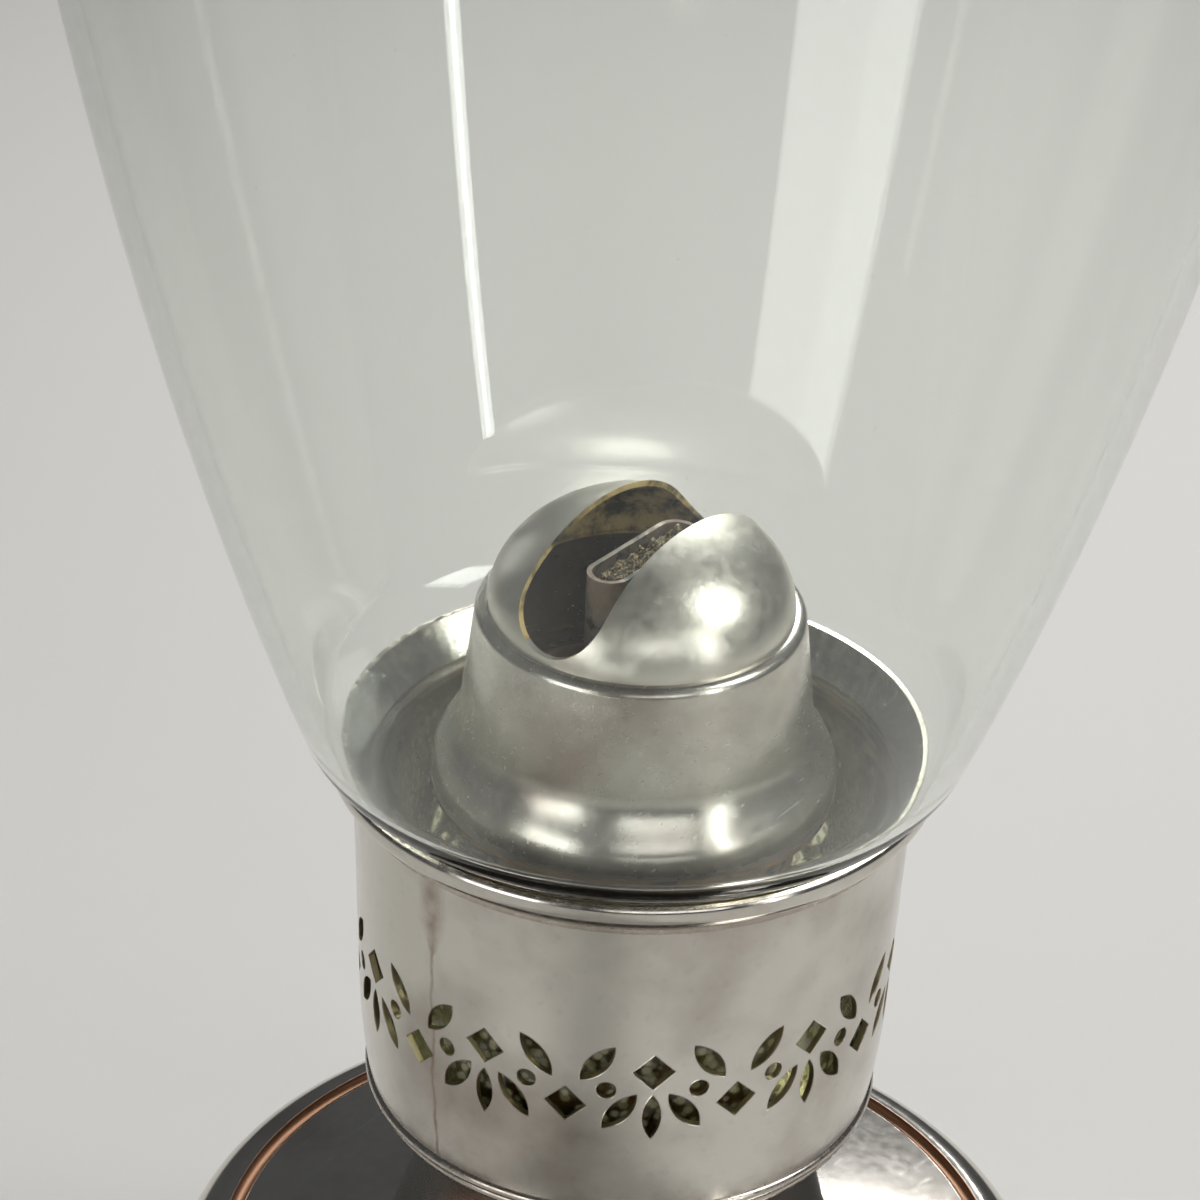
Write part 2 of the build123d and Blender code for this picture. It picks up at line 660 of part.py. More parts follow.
# Flared rim: a step on the band, a rolled bead above it and a conical mouth for the shade
rim_step_radius = band_top_radius + RIM_STEP
rim_step_level = band_top + RIM_STEP_HEIGHT
rim_throat = band_top_radius - BAND_WALL
with BuildPart() as gallery_top_rim:
    bead_rise = rim_top - rim_step_level
    bead_middle = (
        (rim_step_radius + rim_radius) / 2 + RIM_BULGE,
        rim_step_level + bead_rise / 2 - RIM_BULGE / 2,
    )
    with BuildSketch(Plane.XZ):
        with BuildLine():
            ThreePointArc((rim_step_radius, rim_step_level), bead_middle, (rim_radius, rim_top))
            Polyline(
                (rim_radius, rim_top),
                (rim_radius - RIM_LIP, rim_top),
                (rim_throat, rim_step_level),
                (rim_throat, band_top),
                (rim_step_radius, band_top),
                (rim_step_radius, rim_step_level),
            )
        make_face()
    revolve(axis=Axis.Z)
save(gallery_top_rim, "gallery_top_rim")

# Lugs on the floor that carry the shade and let air pass under it
with BuildPart() as shade_rests:
    rest_radius = shade_neck_radius - LIFT_GAP - REST_DEPTH / 2
    with BuildSketch(Plane.XY.offset(floor_top)):
        with PolarLocations(rest_radius, SHADE_RESTS):
            Rectangle(REST_DEPTH, REST_LENGTH)
    extrude(amount=REST_HEIGHT)
save(shade_rests, "shade_rests")

# Glass shade: straight neck, round shoulder and bell, with a rounded lip
with BuildPart() as glass_shade:
    neck_end = (shade_neck_radius + SHADE_NECK_FLARE, band_top - RIM_STEP_HEIGHT)
    shoulder_end = (rim_radius + SHADE_OVERHANG, rim_top + SHADE_SHOULDER_RISE)
    shoulder = [
        neck_end,
        (neck_end[0], neck_end[1] + SHADE_NECK_HANDLE),
        (shoulder_end[0] - SHADE_SLOPE * SHADE_SHOULDER_HANDLE, shoulder_end[1] - SHADE_SHOULDER_HANDLE),
        shoulder_end,
    ]
    bell = [
        shoulder_end,
        (shoulder_end[0] + SHADE_SLOPE * SHADE_BELL_HANDLE, shoulder_end[1] + SHADE_BELL_HANDLE),
        (SHADE_MOUTH_RADIUS - SHADE_MOUTH_SLOPE * SHADE_BELL_HANDLE, shade_top - SHADE_BELL_HANDLE),
        (SHADE_MOUTH_RADIUS, shade_top),
    ]
    inner_shoulder = curve_inside(shoulder, GLASS_WALL, SHOULDER_STEPS)
    inner_bell = curve_inside(bell, GLASS_WALL, BELL_STEPS)
    lip_crown = (
        (bell[-1][0] + inner_bell[-1][0] + GLASS_WALL * SHADE_MOUTH_SLOPE) / 2,
        (bell[-1][1] + inner_bell[-1][1] + GLASS_WALL) / 2,
    )
    with BuildSketch(Plane.XZ):
        with BuildLine():
            Bezier(*shoulder)
            Bezier(*bell)
            ThreePointArc(bell[-1], lip_crown, inner_bell[-1])
            Spline(*inner_bell, tangents=((SHADE_SLOPE, 1), (SHADE_MOUTH_SLOPE, 1)))
            Spline(*inner_shoulder, tangents=((0, 1), (SHADE_SLOPE, 1)))
            Polyline(
                inner_shoulder[0],
                (shade_bore, shade_bottom),
                (shade_neck_radius, shade_bottom),
                neck_end,
            )
        make_face()
    revolve(axis=Axis.Z)
save(glass_shade, "glass_shade")

# Perforated drum that carries the cap and lets air in to the wick
with BuildPart() as draught_drum:
    with BuildSketch(Plane.XY.offset(floor_top)):
        Circle(drum_radius)
        Circle(drum_radius - DRUM_WALL, mode=Mode.SUBTRACT)
    extrude(amount=CAP_LEVEL_RISE + DRUM_OVERLAP)
    for row in range(AIR_HOLE_ROWS):
        row_level = floor_top + AIR_HOLE_LEVEL + row * AIR_HOLE_PITCH
        with Locations((0, 0, row_level)):
            with PolarLocations(drum_radius, AIR_HOLES, start_angle=(row % 2) * 180 / AIR_HOLES):
                Cylinder(AIR_HOLE_DIAMETER / 2, AIR_HOLE_CUT, rotation=(0, 90, 0), mode=Mode.SUBTRACT)
save(draught_drum, "draught_drum")

# Ring on the drum that the cap stands on
with BuildPart() as cap_seat_ring:
    with BuildSketch(Plane.XY.offset(cap_level)):
        Circle(cap_foot_radius - SEAT_INSET)
        Circle(drum_radius + SOLDER_GAP, mode=Mode.SUBTRACT)
    extrude(amount=-SEAT_THICKNESS)
save(cap_seat_ring, "cap_seat_ring")

# Skirt of the cap: ogee foot, tapered wall, rounded shoulder and the ledge that carries the dome
with BuildPart() as cap_skirt:
    flare_level = cap_level + SKIRT_FLARE_HEIGHT
    flare_middle = (
        skirt_foot_radius + CAP_FLARE / 2,
        (flare_level + cap_level + CAP_FOOT_EDGE) / 2 + CAP_FOOT_EDGE,
    )
    round_level = dome_level - SKIRT_ROUND
    round_radius = skirt_top_radius - SKIRT_ROUND
    ledge_bore = dome_radius - CAP_WALL - DOME_LEDGE
    with BuildSketch(Plane.XZ):
        with BuildLine():
            for inset in (0, CAP_WALL):
                foot = cap_foot_radius - inset
                Line((foot, cap_level), (foot, cap_level + CAP_FOOT_EDGE))
                Spline(
                    (foot, cap_level + CAP_FOOT_EDGE),
                    (flare_middle[0] - inset, flare_middle[1]),
                    (skirt_foot_radius - inset, flare_level),
                    tangents=((0, 1), (-SKIRT_TAPER, round_level - flare_level)),
                )
                Line((skirt_foot_radius - inset, flare_level), (skirt_top_radius - inset, round_level))
                CenterArc((round_radius, round_level), SKIRT_ROUND - inset, 0, 90)
                Line((round_radius, dome_level - inset), (ledge_bore, dome_level - inset))
            Line((cap_foot_radius, cap_level), (cap_foot_radius - CAP_WALL, cap_level))
            Line((ledge_bore, dome_level), (ledge_bore, dome_level - CAP_WALL))
        make_face()
    revolve(axis=Axis.Z)
save(cap_skirt, "cap_skirt")

# Dome of the cap: a low spheroid shell with a round-ended slot over the wick
with BuildPart() as cap_dome:
    with BuildSketch(Plane.XZ):
        with BuildLine():
            for inset in (0, CAP_WALL):
                EllipticalCenterArc((0, dome_level), dome_radius - inset, DOME_HEIGHT - inset, arc_size=90)
            Line((dome_radius, dome_level), (dome_radius - CAP_WALL, dome_level))
            Line((0, dome_level + DOME_HEIGHT), (0, dome_level + DOME_HEIGHT - CAP_WALL))
        make_face()
    revolve(axis=Axis.Z)
    sill_centre = dome_level + SLOT_SILL + SLOT_WIDTH / 2
    with BuildSketch(Plane.YZ):
        with Locations((0, sill_centre)):
            Circle(SLOT_WIDTH / 2)
            Rectangle(SLOT_WIDTH, DOME_HEIGHT, align=(Align.CENTER, Align.MIN))
    extrude(amount=dome_radius, both=True, mode=Mode.SUBTRACT)
save(cap_dome, "cap_dome")
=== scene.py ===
"""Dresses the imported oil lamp: worn silver plate, clear glass, sooted brass and a charred cotton wick.

Sizes in the classes are millimetres, as on a maker's drawing. Meshes are in metres, in the lamp's own frame.
"""

import json
import logging
import math
from collections.abc import Callable
from dataclasses import dataclass, field
from enum import Enum
from functools import partial

import bmesh
import bpy
from bpy.types import Material, Mesh, MeshPolygon, Node, NodeSocket, NodeTree, Object, Scene
from mathutils import Matrix, Vector, noise


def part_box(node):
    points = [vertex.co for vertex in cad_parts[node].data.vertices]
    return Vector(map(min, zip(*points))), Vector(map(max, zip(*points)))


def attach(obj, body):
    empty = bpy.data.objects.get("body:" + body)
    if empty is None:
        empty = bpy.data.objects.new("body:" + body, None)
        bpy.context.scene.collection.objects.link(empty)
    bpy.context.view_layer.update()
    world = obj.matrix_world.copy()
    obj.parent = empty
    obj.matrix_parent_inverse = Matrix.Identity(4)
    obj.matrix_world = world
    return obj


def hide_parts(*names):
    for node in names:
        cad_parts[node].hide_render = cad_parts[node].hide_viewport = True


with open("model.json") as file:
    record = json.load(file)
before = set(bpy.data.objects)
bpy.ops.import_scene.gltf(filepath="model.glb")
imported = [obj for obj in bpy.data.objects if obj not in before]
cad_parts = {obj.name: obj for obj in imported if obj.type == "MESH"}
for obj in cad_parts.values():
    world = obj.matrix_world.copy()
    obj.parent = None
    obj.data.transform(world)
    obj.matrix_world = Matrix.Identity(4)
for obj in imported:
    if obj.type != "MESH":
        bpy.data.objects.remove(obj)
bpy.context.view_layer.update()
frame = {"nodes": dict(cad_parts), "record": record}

LOG = logging.getLogger("oil_lamp")
MM = 0.001
TURN_STEPS = 288
SHARP_ANGLE = math.radians(38)
ON_AXIS = 1e-6
SOLDER_GAP = 0.05

# Places of a Mix node's two colours, because their names are shared with its other inputs
UNDER, OVER = 6, 7

Point = tuple[float, float]
Triple = tuple[float, float, float]
Colour = tuple[float, float, float, float]
AddNode = Callable[..., Node]


class Slot(Enum):
    """The record's material slots."""

    SILVER = "silver_plate"
    BRASS = "burner_brass"
    STEEL = "spindle_steel"
    GLASS = "clear_glass"
    COTTON = "wick_cotton"
    LEATHER = "seal_leather"


def hex_linear(code: str) -> Colour:
    """Turns an sRGB hex colour into linear light.

    Args:
        code: six hex digits, red first.

    Returns:
        Linear red, green and blue, with full alpha.
    """
    channels = [int(code[start : start + 2], 16) / 255 for start in (0, 2, 4)]
    linear = [c / 12.92 if c <= 0.04045 else ((c + 0.055) / 1.055) ** 2.4 for c in channels]
    return (linear[0], linear[1], linear[2], 1.0)


def add_node(tree: NodeTree, kind: str, inputs: dict | None = None, **settings: object) -> Node:
    """Adds a node with its settings, and fills or links its inputs.

    Args:
        tree: the node tree to add to.
        kind: the node's type name.
        inputs: by input name or place, a value, a socket, or a node whose first outlet in use is linked.
        settings: properties of the node.

    Returns:
        The new node.
    """
    node = tree.nodes.new(kind)
    for name, value in settings.items():
        setattr(node, name, value)
    for name, value in (inputs or {}).items():
        if isinstance(value, Node):
            value = next(outlet for outlet in value.outputs if outlet.enabled)
        if isinstance(value, NodeSocket):
            tree.links.new(value, node.inputs[name])
        else:
            node.inputs[name].default_value = value
    return node


def per_mm(size: float) -> float:
    """Scale of a pattern on object coordinates whose features are a size in millimetres apart."""
    return 1 / (size * MM)


@dataclass(frozen=True)
class Finish:
    """A finish that can be made into a material. Each kind of finish adds its own nodes."""

    name: str

    def build(self) -> Material:
        """Makes the finish as a material.

        Returns:
            The material.
        """
        material = bpy.data.materials.new(self.name)
        material.use_nodes = True
        tree = material.node_tree
        tree.nodes.clear()
        add = partial(add_node, tree)
        place = add("ShaderNodeTexCoord").outputs["Object"]
        add("ShaderNodeOutputMaterial", self.shaders(add, place))
        return material

    def shaders(self, add: AddNode, place: NodeSocket) -> dict[str, Node]:
        """Adds the finish's nodes.

        Args:
            add: adds a node to the material.
            place: object coordinates.

        Returns:
            The shaders, by the input of the material's output that each one goes to.
        """
        raise NotImplementedError


@dataclass(frozen=True)
class SilverPlate(Finish):
    """Silver plate over copper, long polished: bright and lightly scratched, browned in patches."""

    silver: str = "d6d2ca"
    tarnish: str = "a0968a"
    copper: str = "84644e"
    stain: str = "4d4238"
    roughness: float = 0.1
    haze: float = 0.12
    scratch_haze: float = 0.14
    bare_haze: float = 0.45
    blotch_mm: float = 16.0
    specks_across_blotch: int = 12
    tarnish_share: float = 0.55
    wear_contrast: float = 1.2
    # Real lathe lines are finer, and these are drawn as coarse as they need to be to show
    turning_mm: float = 0.45
    turning_length_mm: float = 60.0
    turning_depth_mm: float = 0.006
    scratch_length_mm: float = 26.0
    scratch_mm: float = 0.5
    scratch_seed: Triple = (0.5, 0.9, 0.4)
    scratch_share: float = 0.5
    dent_mm: float = 24.0
    dent_depth_mm: float = 0.12
    pit_mm: float = 1.7
    pit_share: float = 0.08
    rounding_mm: float = 0.0
    seam_angle: float | None = None
    seam_top_mm: float = 0.0
    solder_run_mm: Point = (11.0, 7.0)
    seam_width_mm: Point = (0.35, 2.2)
    seam_wander_mm: float = 1.6
    seam_bend_mm: float = 5.0
    seam_break_mm: float = 2.2

    def shaders(self, add: AddNode, place: NodeSocket) -> dict[str, Node]:
        """Plate under tarnish, pits and bare copper, see the base class."""
        blotch, speckle, pit, dent = (
            add("ShaderNodeTexNoise", {"Vector": place, "Scale": per_mm(size), "Detail": detail})
            for size, detail in (
                (self.blotch_mm, 6.0),
                (self.blotch_mm / self.specks_across_blotch, 4.0),
                (self.pit_mm, 3.0),
                (self.dent_mm, 1.0),
            )
        )
        turning, scratch = self._marks(add, place)
        worn = self._worn(add, place, speckle)
        browned, pitted = (
            add(
                "ShaderNodeMapRange",
                {"Value": value, "From Min": least, "From Max": 0.72, "To Max": share},
            )
            for value, least, share in ((blotch, 0.42, self.tarnish_share), (pit, 0.6, self.pit_share))
        )
        colour = hex_linear(self.silver)
        for share, layer in ((browned, self.tarnish), (pitted, self.stain), (worn, self.copper)):
            layers = {"Factor": share, UNDER: colour, OVER: hex_linear(layer)}
            colour = add("ShaderNodeMix", layers, data_type="RGBA")
        rough = add(
            "ShaderNodeMapRange",
            {
                "Value": speckle,
                "From Min": 0.3,
                "From Max": 0.75,
                "To Min": self.roughness,
                "To Max": self.roughness + self.haze,
            },
        )
        for share, haze in ((scratch, self.scratch_haze), (worn, self.bare_haze)):
            rough = add("ShaderNodeMath", {0: share, 1: haze, 2: rough}, operation="MULTIPLY_ADD")
        dents = {"Strength": 0.35, "Distance": self.dent_depth_mm * MM, "Height": dent}
        if self.rounding_mm:
            dents["Normal"] = add("ShaderNodeBevel", {"Radius": self.rounding_mm * MM}, samples=4)
        cuts = add("ShaderNodeMath", {0: scratch, 1: pitted}, operation="ADD")
        marks = add("ShaderNodeMath", {0: turning, 1: cuts}, operation="SUBTRACT")
        surface = add(
            "ShaderNodeBump",
            {
                "Strength": 0.5,
                "Distance": self.turning_depth_mm * MM,
                "Height": marks,
                "Normal": add("ShaderNodeBump", dents),
            },
        )
        look = {"Base Color": colour, "Metallic": 1.0, "Roughness": rough, "Normal": surface}
        return {"Surface": add("ShaderNodeBsdfPrincipled", look)}

    def _marks(self, add: AddNode, place: NodeSocket) -> tuple[Node, Node]:
        """Adds lathe lines round the lamp's axis, and sparse scratches along X.

        Args:
            add: adds a node to the material.
            place: object coordinates.

        Returns:
            The height of the lathe lines, on walls and level faces alike, and the share of scratches.
        """
        along, across = per_mm(self.turning_length_mm), per_mm(self.turning_mm)
        level, flat = (
            add("ShaderNodeVectorMath", {0: place, 1: scale}, operation="MULTIPLY")
            for scale in ((along, along, across), (across, across, 0.0))
        )
        radius = add("ShaderNodeVectorMath", {0: flat}, operation="LENGTH")
        lines = {"Vector": level, "W": radius, "Scale": 1.0, "Detail": 2.0}
        turning = add("ShaderNodeTexNoise", lines, noise_dimensions="4D")
        scale = (per_mm(self.scratch_length_mm), per_mm(self.scratch_mm), per_mm(self.scratch_mm))
        drawn = {"Vector": place, "Rotation": self.scratch_seed, "Scale": scale}
        streak = add(
            "ShaderNodeTexNoise",
            {"Vector": add("ShaderNodeMapping", drawn), "Scale": 1.0, "Detail": 1.0},
        )
        scratch = add(
            "ShaderNodeMapRange",
            {"Value": streak, "From Min": 0.66, "From Max": 0.76, "To Max": self.scratch_share},
        )
        return turning, scratch

    def _worn(self, add: AddNode, place: NodeSocket, speckle: Node) -> Node:
        """Adds the share of copper that shows, broken up where the piece's own wear is only slight.

        Args:
            add: adds a node to the material.
            place: object coordinates.
            speckle: what breaks it up.

        Returns:
            The share.
        """
        contrast = self.wear_contrast
        wear = add("ShaderNodeAttribute", attribute_name="wear").outputs["Fac"]
        share = -contrast / 2
        for value in (speckle, wear):
            share = add("ShaderNodeMath", {0: value, 1: contrast, 2: share}, operation="MULTIPLY_ADD")
        bare = add("ShaderNodeMath", {0: share, 1: wear}, operation="MULTIPLY", use_clamp=True)
        if self.seam_angle is None:
            return bare
        seam = self._seam(add, place)
        return add("ShaderNodeMath", {0: bare, 1: seam}, operation="MAXIMUM")

    def _seam(self, add: AddNode, place: NodeSocket) -> Node:
        """Adds copper along a soldered upright seam, wider where the solder ran below the rim.

        Args:
            add: adds a node to the material.
            place: object coordinates.

        Returns:
            The share of copper.
        """
        facing = (0.0, 0.0, -math.radians(self.seam_angle))
        faced = add("ShaderNodeMapping", {"Vector": place, "Rotation": facing})
        ahead, aside, height = add("ShaderNodeSeparateXYZ", {0: faced}).outputs
        bend, broken = (
            add("ShaderNodeTexNoise", {"Vector": place, "Scale": per_mm(size), "Detail": detail})
            for size, detail in ((self.seam_bend_mm, 3.0), (self.seam_break_mm, 5.0))
        )
        wander = self.seam_wander_mm * MM
        bent = add("ShaderNodeMath", {0: bend, 1: wander, 2: aside}, operation="MULTIPLY_ADD")
        centred = add("ShaderNodeMath", {0: bent, 1: wander / 2}, operation="SUBTRACT")
        off = add("ShaderNodeMath", {0: centred}, operation="ABSOLUTE")
        width = add(
            "ShaderNodeMapRange",
            {
                "Value": height,
                "From Min": (self.seam_top_mm - self.solder_run_mm[0]) * MM,
                "From Max": (self.seam_top_mm - self.solder_run_mm[1]) * MM,
                "To Min": self.seam_width_mm[0] * MM,
                "To Max": self.seam_width_mm[1] * MM,
            },
        )
        across = add("ShaderNodeMath", {0: off, 1: width}, operation="DIVIDE")
        line = add(
            "ShaderNodeMapRange",
            {"Value": across, "From Min": 0.1, "From Max": 1.1, "To Min": 0.9, "To Max": 0.0},
        )
        near = add("ShaderNodeMath", {0: ahead, 1: 0.0}, operation="GREATER_THAN")
        shown = add("ShaderNodeMath", {0: line, 1: near}, operation="MULTIPLY")
        return add("ShaderNodeMath", {0: shown, 1: broken}, operation="MULTIPLY")


@dataclass(frozen=True)
class SootedBrass(Finish):
    """Brass sheet gone brown, with black soot and yellow-brown burnt oil on it."""

    brass: str = "8a744c"
    burnt: str = "6b4a24"
    soot: str = "17130f"
    soot_share: float = 0.45
    soot_reach: float = 0.36
    roughness: float = 0.34
    crust_haze: float = 0.45
    patch_mm: float = 5.0
    grain_mm: float = 0.6
    crust_mm: float = 0.08

    def shaders(self, add: AddNode, place: NodeSocket) -> dict[str, Node]:
        """Brass under burnt oil and soot, see the base class."""
        clouds = {"Vector": place, "Scale": per_mm(self.patch_mm), "Detail": 7.0, "Roughness": 0.62}
        patch = add("ShaderNodeTexNoise", clouds)
        grains = {"Vector": place, "Scale": per_mm(self.grain_mm), "Detail": 3.0}
        grain = add("ShaderNodeTexNoise", grains)
        reach = self.soot_reach * self.soot_share
        burnt, sooted = (
            add("ShaderNodeMapRange", {"Value": patch, "From Min": none, "From Max": full})
            for none, full in ((0.44, 0.54), (0.38 + reach, 0.26 + reach))
        )
        colour = hex_linear(self.brass)
        for share, layer in ((burnt, self.burnt), (sooted, self.soot)):
            layers = {"Factor": share, UNDER: colour, OVER: hex_linear(layer)}
            colour = add("ShaderNodeMix", layers, data_type="RGBA")
        covered = add("ShaderNodeMath", {0: burnt, 1: sooted}, operation="MAXIMUM")
        clean = add("ShaderNodeMath", {0: 1.0, 1: covered}, operation="SUBTRACT")
        hazed = {0: covered, 1: self.crust_haze, 2: self.roughness}
        rough = add("ShaderNodeMath", hazed, operation="MULTIPLY_ADD")
        crust = add("ShaderNodeMath", {0: grain, 1: covered}, operation="MULTIPLY")
        relief = {"Strength": 0.6, "Distance": self.crust_mm * MM, "Height": crust}
        surface = add("ShaderNodeBump", relief)
        look = {"Base Color": colour, "Metallic": clean, "Roughness": rough, "Normal": surface}
        return {"Surface": add("ShaderNodeBsdfPrincipled", look)}


@dataclass(frozen=True)
class TurnedSteel(Finish):
    """Steel rod from the lathe: grey, with fine rings and a film of oil."""

    steel: str = "8f8d89"
    oiled: str = "6a6660"
    roughness: Point = (0.22, 0.42)
    # Real lathe rings are finer, and these are drawn as coarse as they need to be to show
    ring_mm: float = 0.3
    ring_length_mm: float = 8.0
    ring_depth_mm: float = 0.01
    film_mm: float = 4.0

    def shaders(self, add: AddNode, place: NodeSocket) -> dict[str, Node]:
        """Ringed steel under oil, see the base class."""
        length = per_mm(self.ring_length_mm)
        scale = (per_mm(self.ring_mm), length, length)
        stretched = add("ShaderNodeMapping", {"Vector": place, "Scale": scale})
        rings, film = (
            add("ShaderNodeTexNoise", {"Vector": spot, "Scale": size, "Detail": detail})
            for spot, size, detail in ((stretched, 1.0, 2.0), (place, per_mm(self.film_mm), 4.0))
        )
        layers = {"Factor": film, UNDER: hex_linear(self.steel), OVER: hex_linear(self.oiled)}
        colour = add("ShaderNodeMix", layers, data_type="RGBA")
        smoothest, roughest = self.roughness
        rough = add("ShaderNodeMapRange", {"Value": rings, "To Min": smoothest, "To Max": roughest})
        relief = {"Strength": 0.4, "Distance": self.ring_depth_mm * MM, "Height": rings}
        surface = add("ShaderNodeBump", relief)
        look = {"Base Color": colour, "Metallic": 1.0, "Roughness": rough, "Normal": surface}
        return {"Surface": add("ShaderNodeBsdfPrincipled", look)}


@dataclass(frozen=True)
class BlownGlass(Finish):
    """Clear soda-lime glass, mouth-blown: faintly green where thick, dusty, its neck filmed with oil."""

    tint: str = "fdfefd"
    green: str = "c3d6ac"
    green_density: float = 20.0
    shadow: str = "f2f4f0"
    ior: float = 1.51
    roughness: float = 0.015
    dust: str = "cfccc6"
    dust_mm: float = 8.0
    dust_speck_mm: float = 0.22
    dust_cover: float = 0.25
    film: str = "e2e0c0"
    film_roughness: float = 0.16
    drop: str = "c4c09c"
    drop_mm: float = 1.5
    drop_speck_mm: float = 0.75
    drop_cover: float = 0.6
    film_top_mm: float = 0.0
    film_fade_mm: float = 9.0

    def shaders(self, add: AddNode, place: NodeSocket) -> dict[str, Node]:
        """Glass with dust, drops and a film of oil that fades upwards, see the base class."""
        filmed = add(
            "ShaderNodeMapRange",
            {
                "Value": add("ShaderNodeSeparateXYZ", {0: place}).outputs["Z"],
                "From Min": (self.film_top_mm - self.film_fade_mm) * MM,
                "From Max": self.film_top_mm * MM,
                "To Min": 1.0,
                "To Max": 0.0,
            },
        )
        specks = []
        for spacing, size, cover in (
            (self.dust_mm, self.dust_speck_mm, self.dust_cover),
            (self.drop_mm, self.drop_speck_mm, self.drop_cover),
        ):
            centres = add("ShaderNodeTexVoronoi", {"Vector": place, "Scale": per_mm(spacing)})
            reach = size / spacing
            fade = {"From Min": reach / 2, "From Max": reach, "To Min": cover, "To Max": 0.0}
            specks.append(add("ShaderNodeMapRange", {"Value": centres, **fade}))
        dust, drops = specks
        drops = add("ShaderNodeMath", {0: drops, 1: filmed}, operation="MULTIPLY")
        spotted = add("ShaderNodeMath", {0: dust, 1: drops}, operation="MAXIMUM")
        clear = add("ShaderNodeMath", {0: 1.0, 1: spotted}, operation="SUBTRACT")
        wall, spot = (
            add(
                "ShaderNodeMix",
                {"Factor": filmed, UNDER: hex_linear(above), OVER: hex_linear(below)},
                data_type="RGBA",
            )
            for above, below in ((self.tint, self.film), (self.dust, self.drop))
        )
        layers = {"Factor": spotted, UNDER: wall, OVER: spot}
        colour = add("ShaderNodeMix", layers, data_type="RGBA")
        hazed = {"Value": filmed, "To Min": self.roughness, "To Max": self.film_roughness}
        rough = add("ShaderNodeMapRange", hazed)
        look = {"Base Color": colour, "Roughness": rough, "IOR": self.ior, "Transmission Weight": clear}
        glass = add("ShaderNodeBsdfPrincipled", look)
        lamp_ray = add("ShaderNodeLightPath").outputs["Is Shadow Ray"]
        open_way = add("ShaderNodeBsdfTransparent", {"Color": hex_linear(self.shadow)})
        depth = {"Color": hex_linear(self.green), "Density": self.green_density}
        return {
            "Surface": add("ShaderNodeMixShader", {0: lamp_ray, 1: glass, 2: open_way}),
            "Volume": add("ShaderNodeVolumeAbsorption", depth),
        }


@dataclass(frozen=True)
class CharredCotton(Finish):
    """Woven cotton wick: oil-stained yarn, burnt to a black crust at the top."""

    yarn: str = "8b7a5c"
    stain: str = "5c4526"
    char: str = "14100c"
    ash: str = "a58f62"
    roughness: float = 0.85
    patch_mm: float = 2.5
    fibre_mm: float = 0.25
    fibre_depth_mm: float = 0.12
    char_level_mm: float = 0.0
    char_depth_mm: float = 6.0

    def shaders(self, add: AddNode, place: NodeSocket) -> dict[str, Node]:
        """Stained yarn that gives way to char and ash, see the base class."""
        height = add("ShaderNodeSeparateXYZ", {0: place}).outputs["Z"]
        patch, fibre = (
            add("ShaderNodeTexNoise", {"Vector": place, "Scale": per_mm(size), "Detail": detail})
            for size, detail in ((self.patch_mm, 5.0), (self.fibre_mm, 3.0))
        )
        top, depth = self.char_level_mm * MM, self.char_depth_mm * MM
        ragged = add("ShaderNodeMath", {0: patch, 1: depth, 2: height}, operation="MULTIPLY_ADD")
        burnt, ash = (
            add("ShaderNodeMapRange", {"Value": value, "From Min": none, "From Max": full})
            for value, none, full in ((ragged, top - depth, top), (fibre, 0.48, 0.66))
        )
        yarn, crust = (
            add(
                "ShaderNodeMix",
                {"Factor": share, UNDER: hex_linear(under), OVER: hex_linear(over)},
                data_type="RGBA",
            )
            for share, under, over in ((patch, self.yarn, self.stain), (ash, self.char, self.ash))
        )
        layers = {"Factor": burnt, UNDER: yarn, OVER: crust}
        colour = add("ShaderNodeMix", layers, data_type="RGBA")
        relief = {"Strength": 0.7, "Distance": self.fibre_depth_mm * MM, "Height": fibre}
        surface = add("ShaderNodeBump", relief)
        look = {"Base Color": colour, "Roughness": self.roughness, "Normal": surface}
        return {"Surface": add("ShaderNodeBsdfPrincipled", look)}


@dataclass(frozen=True)
class OiledLeather(Finish):
    """Cut leather washer, dark with lamp oil."""

    hide: str = "3d2818"
    worn: str = "5d3f27"
    roughness: float = 0.55
    grain_mm: float = 0.7
    grain_depth_mm: float = 0.08

    def shaders(self, add: AddNode, place: NodeSocket) -> dict[str, Node]:
        """Grained hide, see the base class."""
        grain = add("ShaderNodeTexVoronoi", {"Vector": place, "Scale": per_mm(self.grain_mm)})
        layers = {"Factor": grain, UNDER: hex_linear(self.worn), OVER: hex_linear(self.hide)}
        colour = add("ShaderNodeMix", layers, data_type="RGBA")
        relief = {"Strength": 0.5, "Distance": self.grain_depth_mm * MM, "Height": grain}
        surface = add("ShaderNodeBump", relief)
        look = {"Base Color": colour, "Roughness": self.roughness, "Normal": surface}
        return {"Surface": add("ShaderNodeBsdfPrincipled", look)}


@dataclass(frozen=True)
class MattPaint(Finish):
    """Pale matt paint of the studio's floor: one even colour with hardly a sheen."""

    colour: str = "d8d6d2"
    roughness: float = 0.9
    sheen: float = 0.1

    def shaders(self, add: AddNode, place: NodeSocket) -> dict[str, Node]:
        """Plain paint, see the base class."""
        look = {
            "Base Color": hex_linear(self.colour),
            "Roughness": self.roughness,
            "Specular IOR Level": self.sheen,
        }
        return {"Surface": add("ShaderNodeBsdfPrincipled", look)}


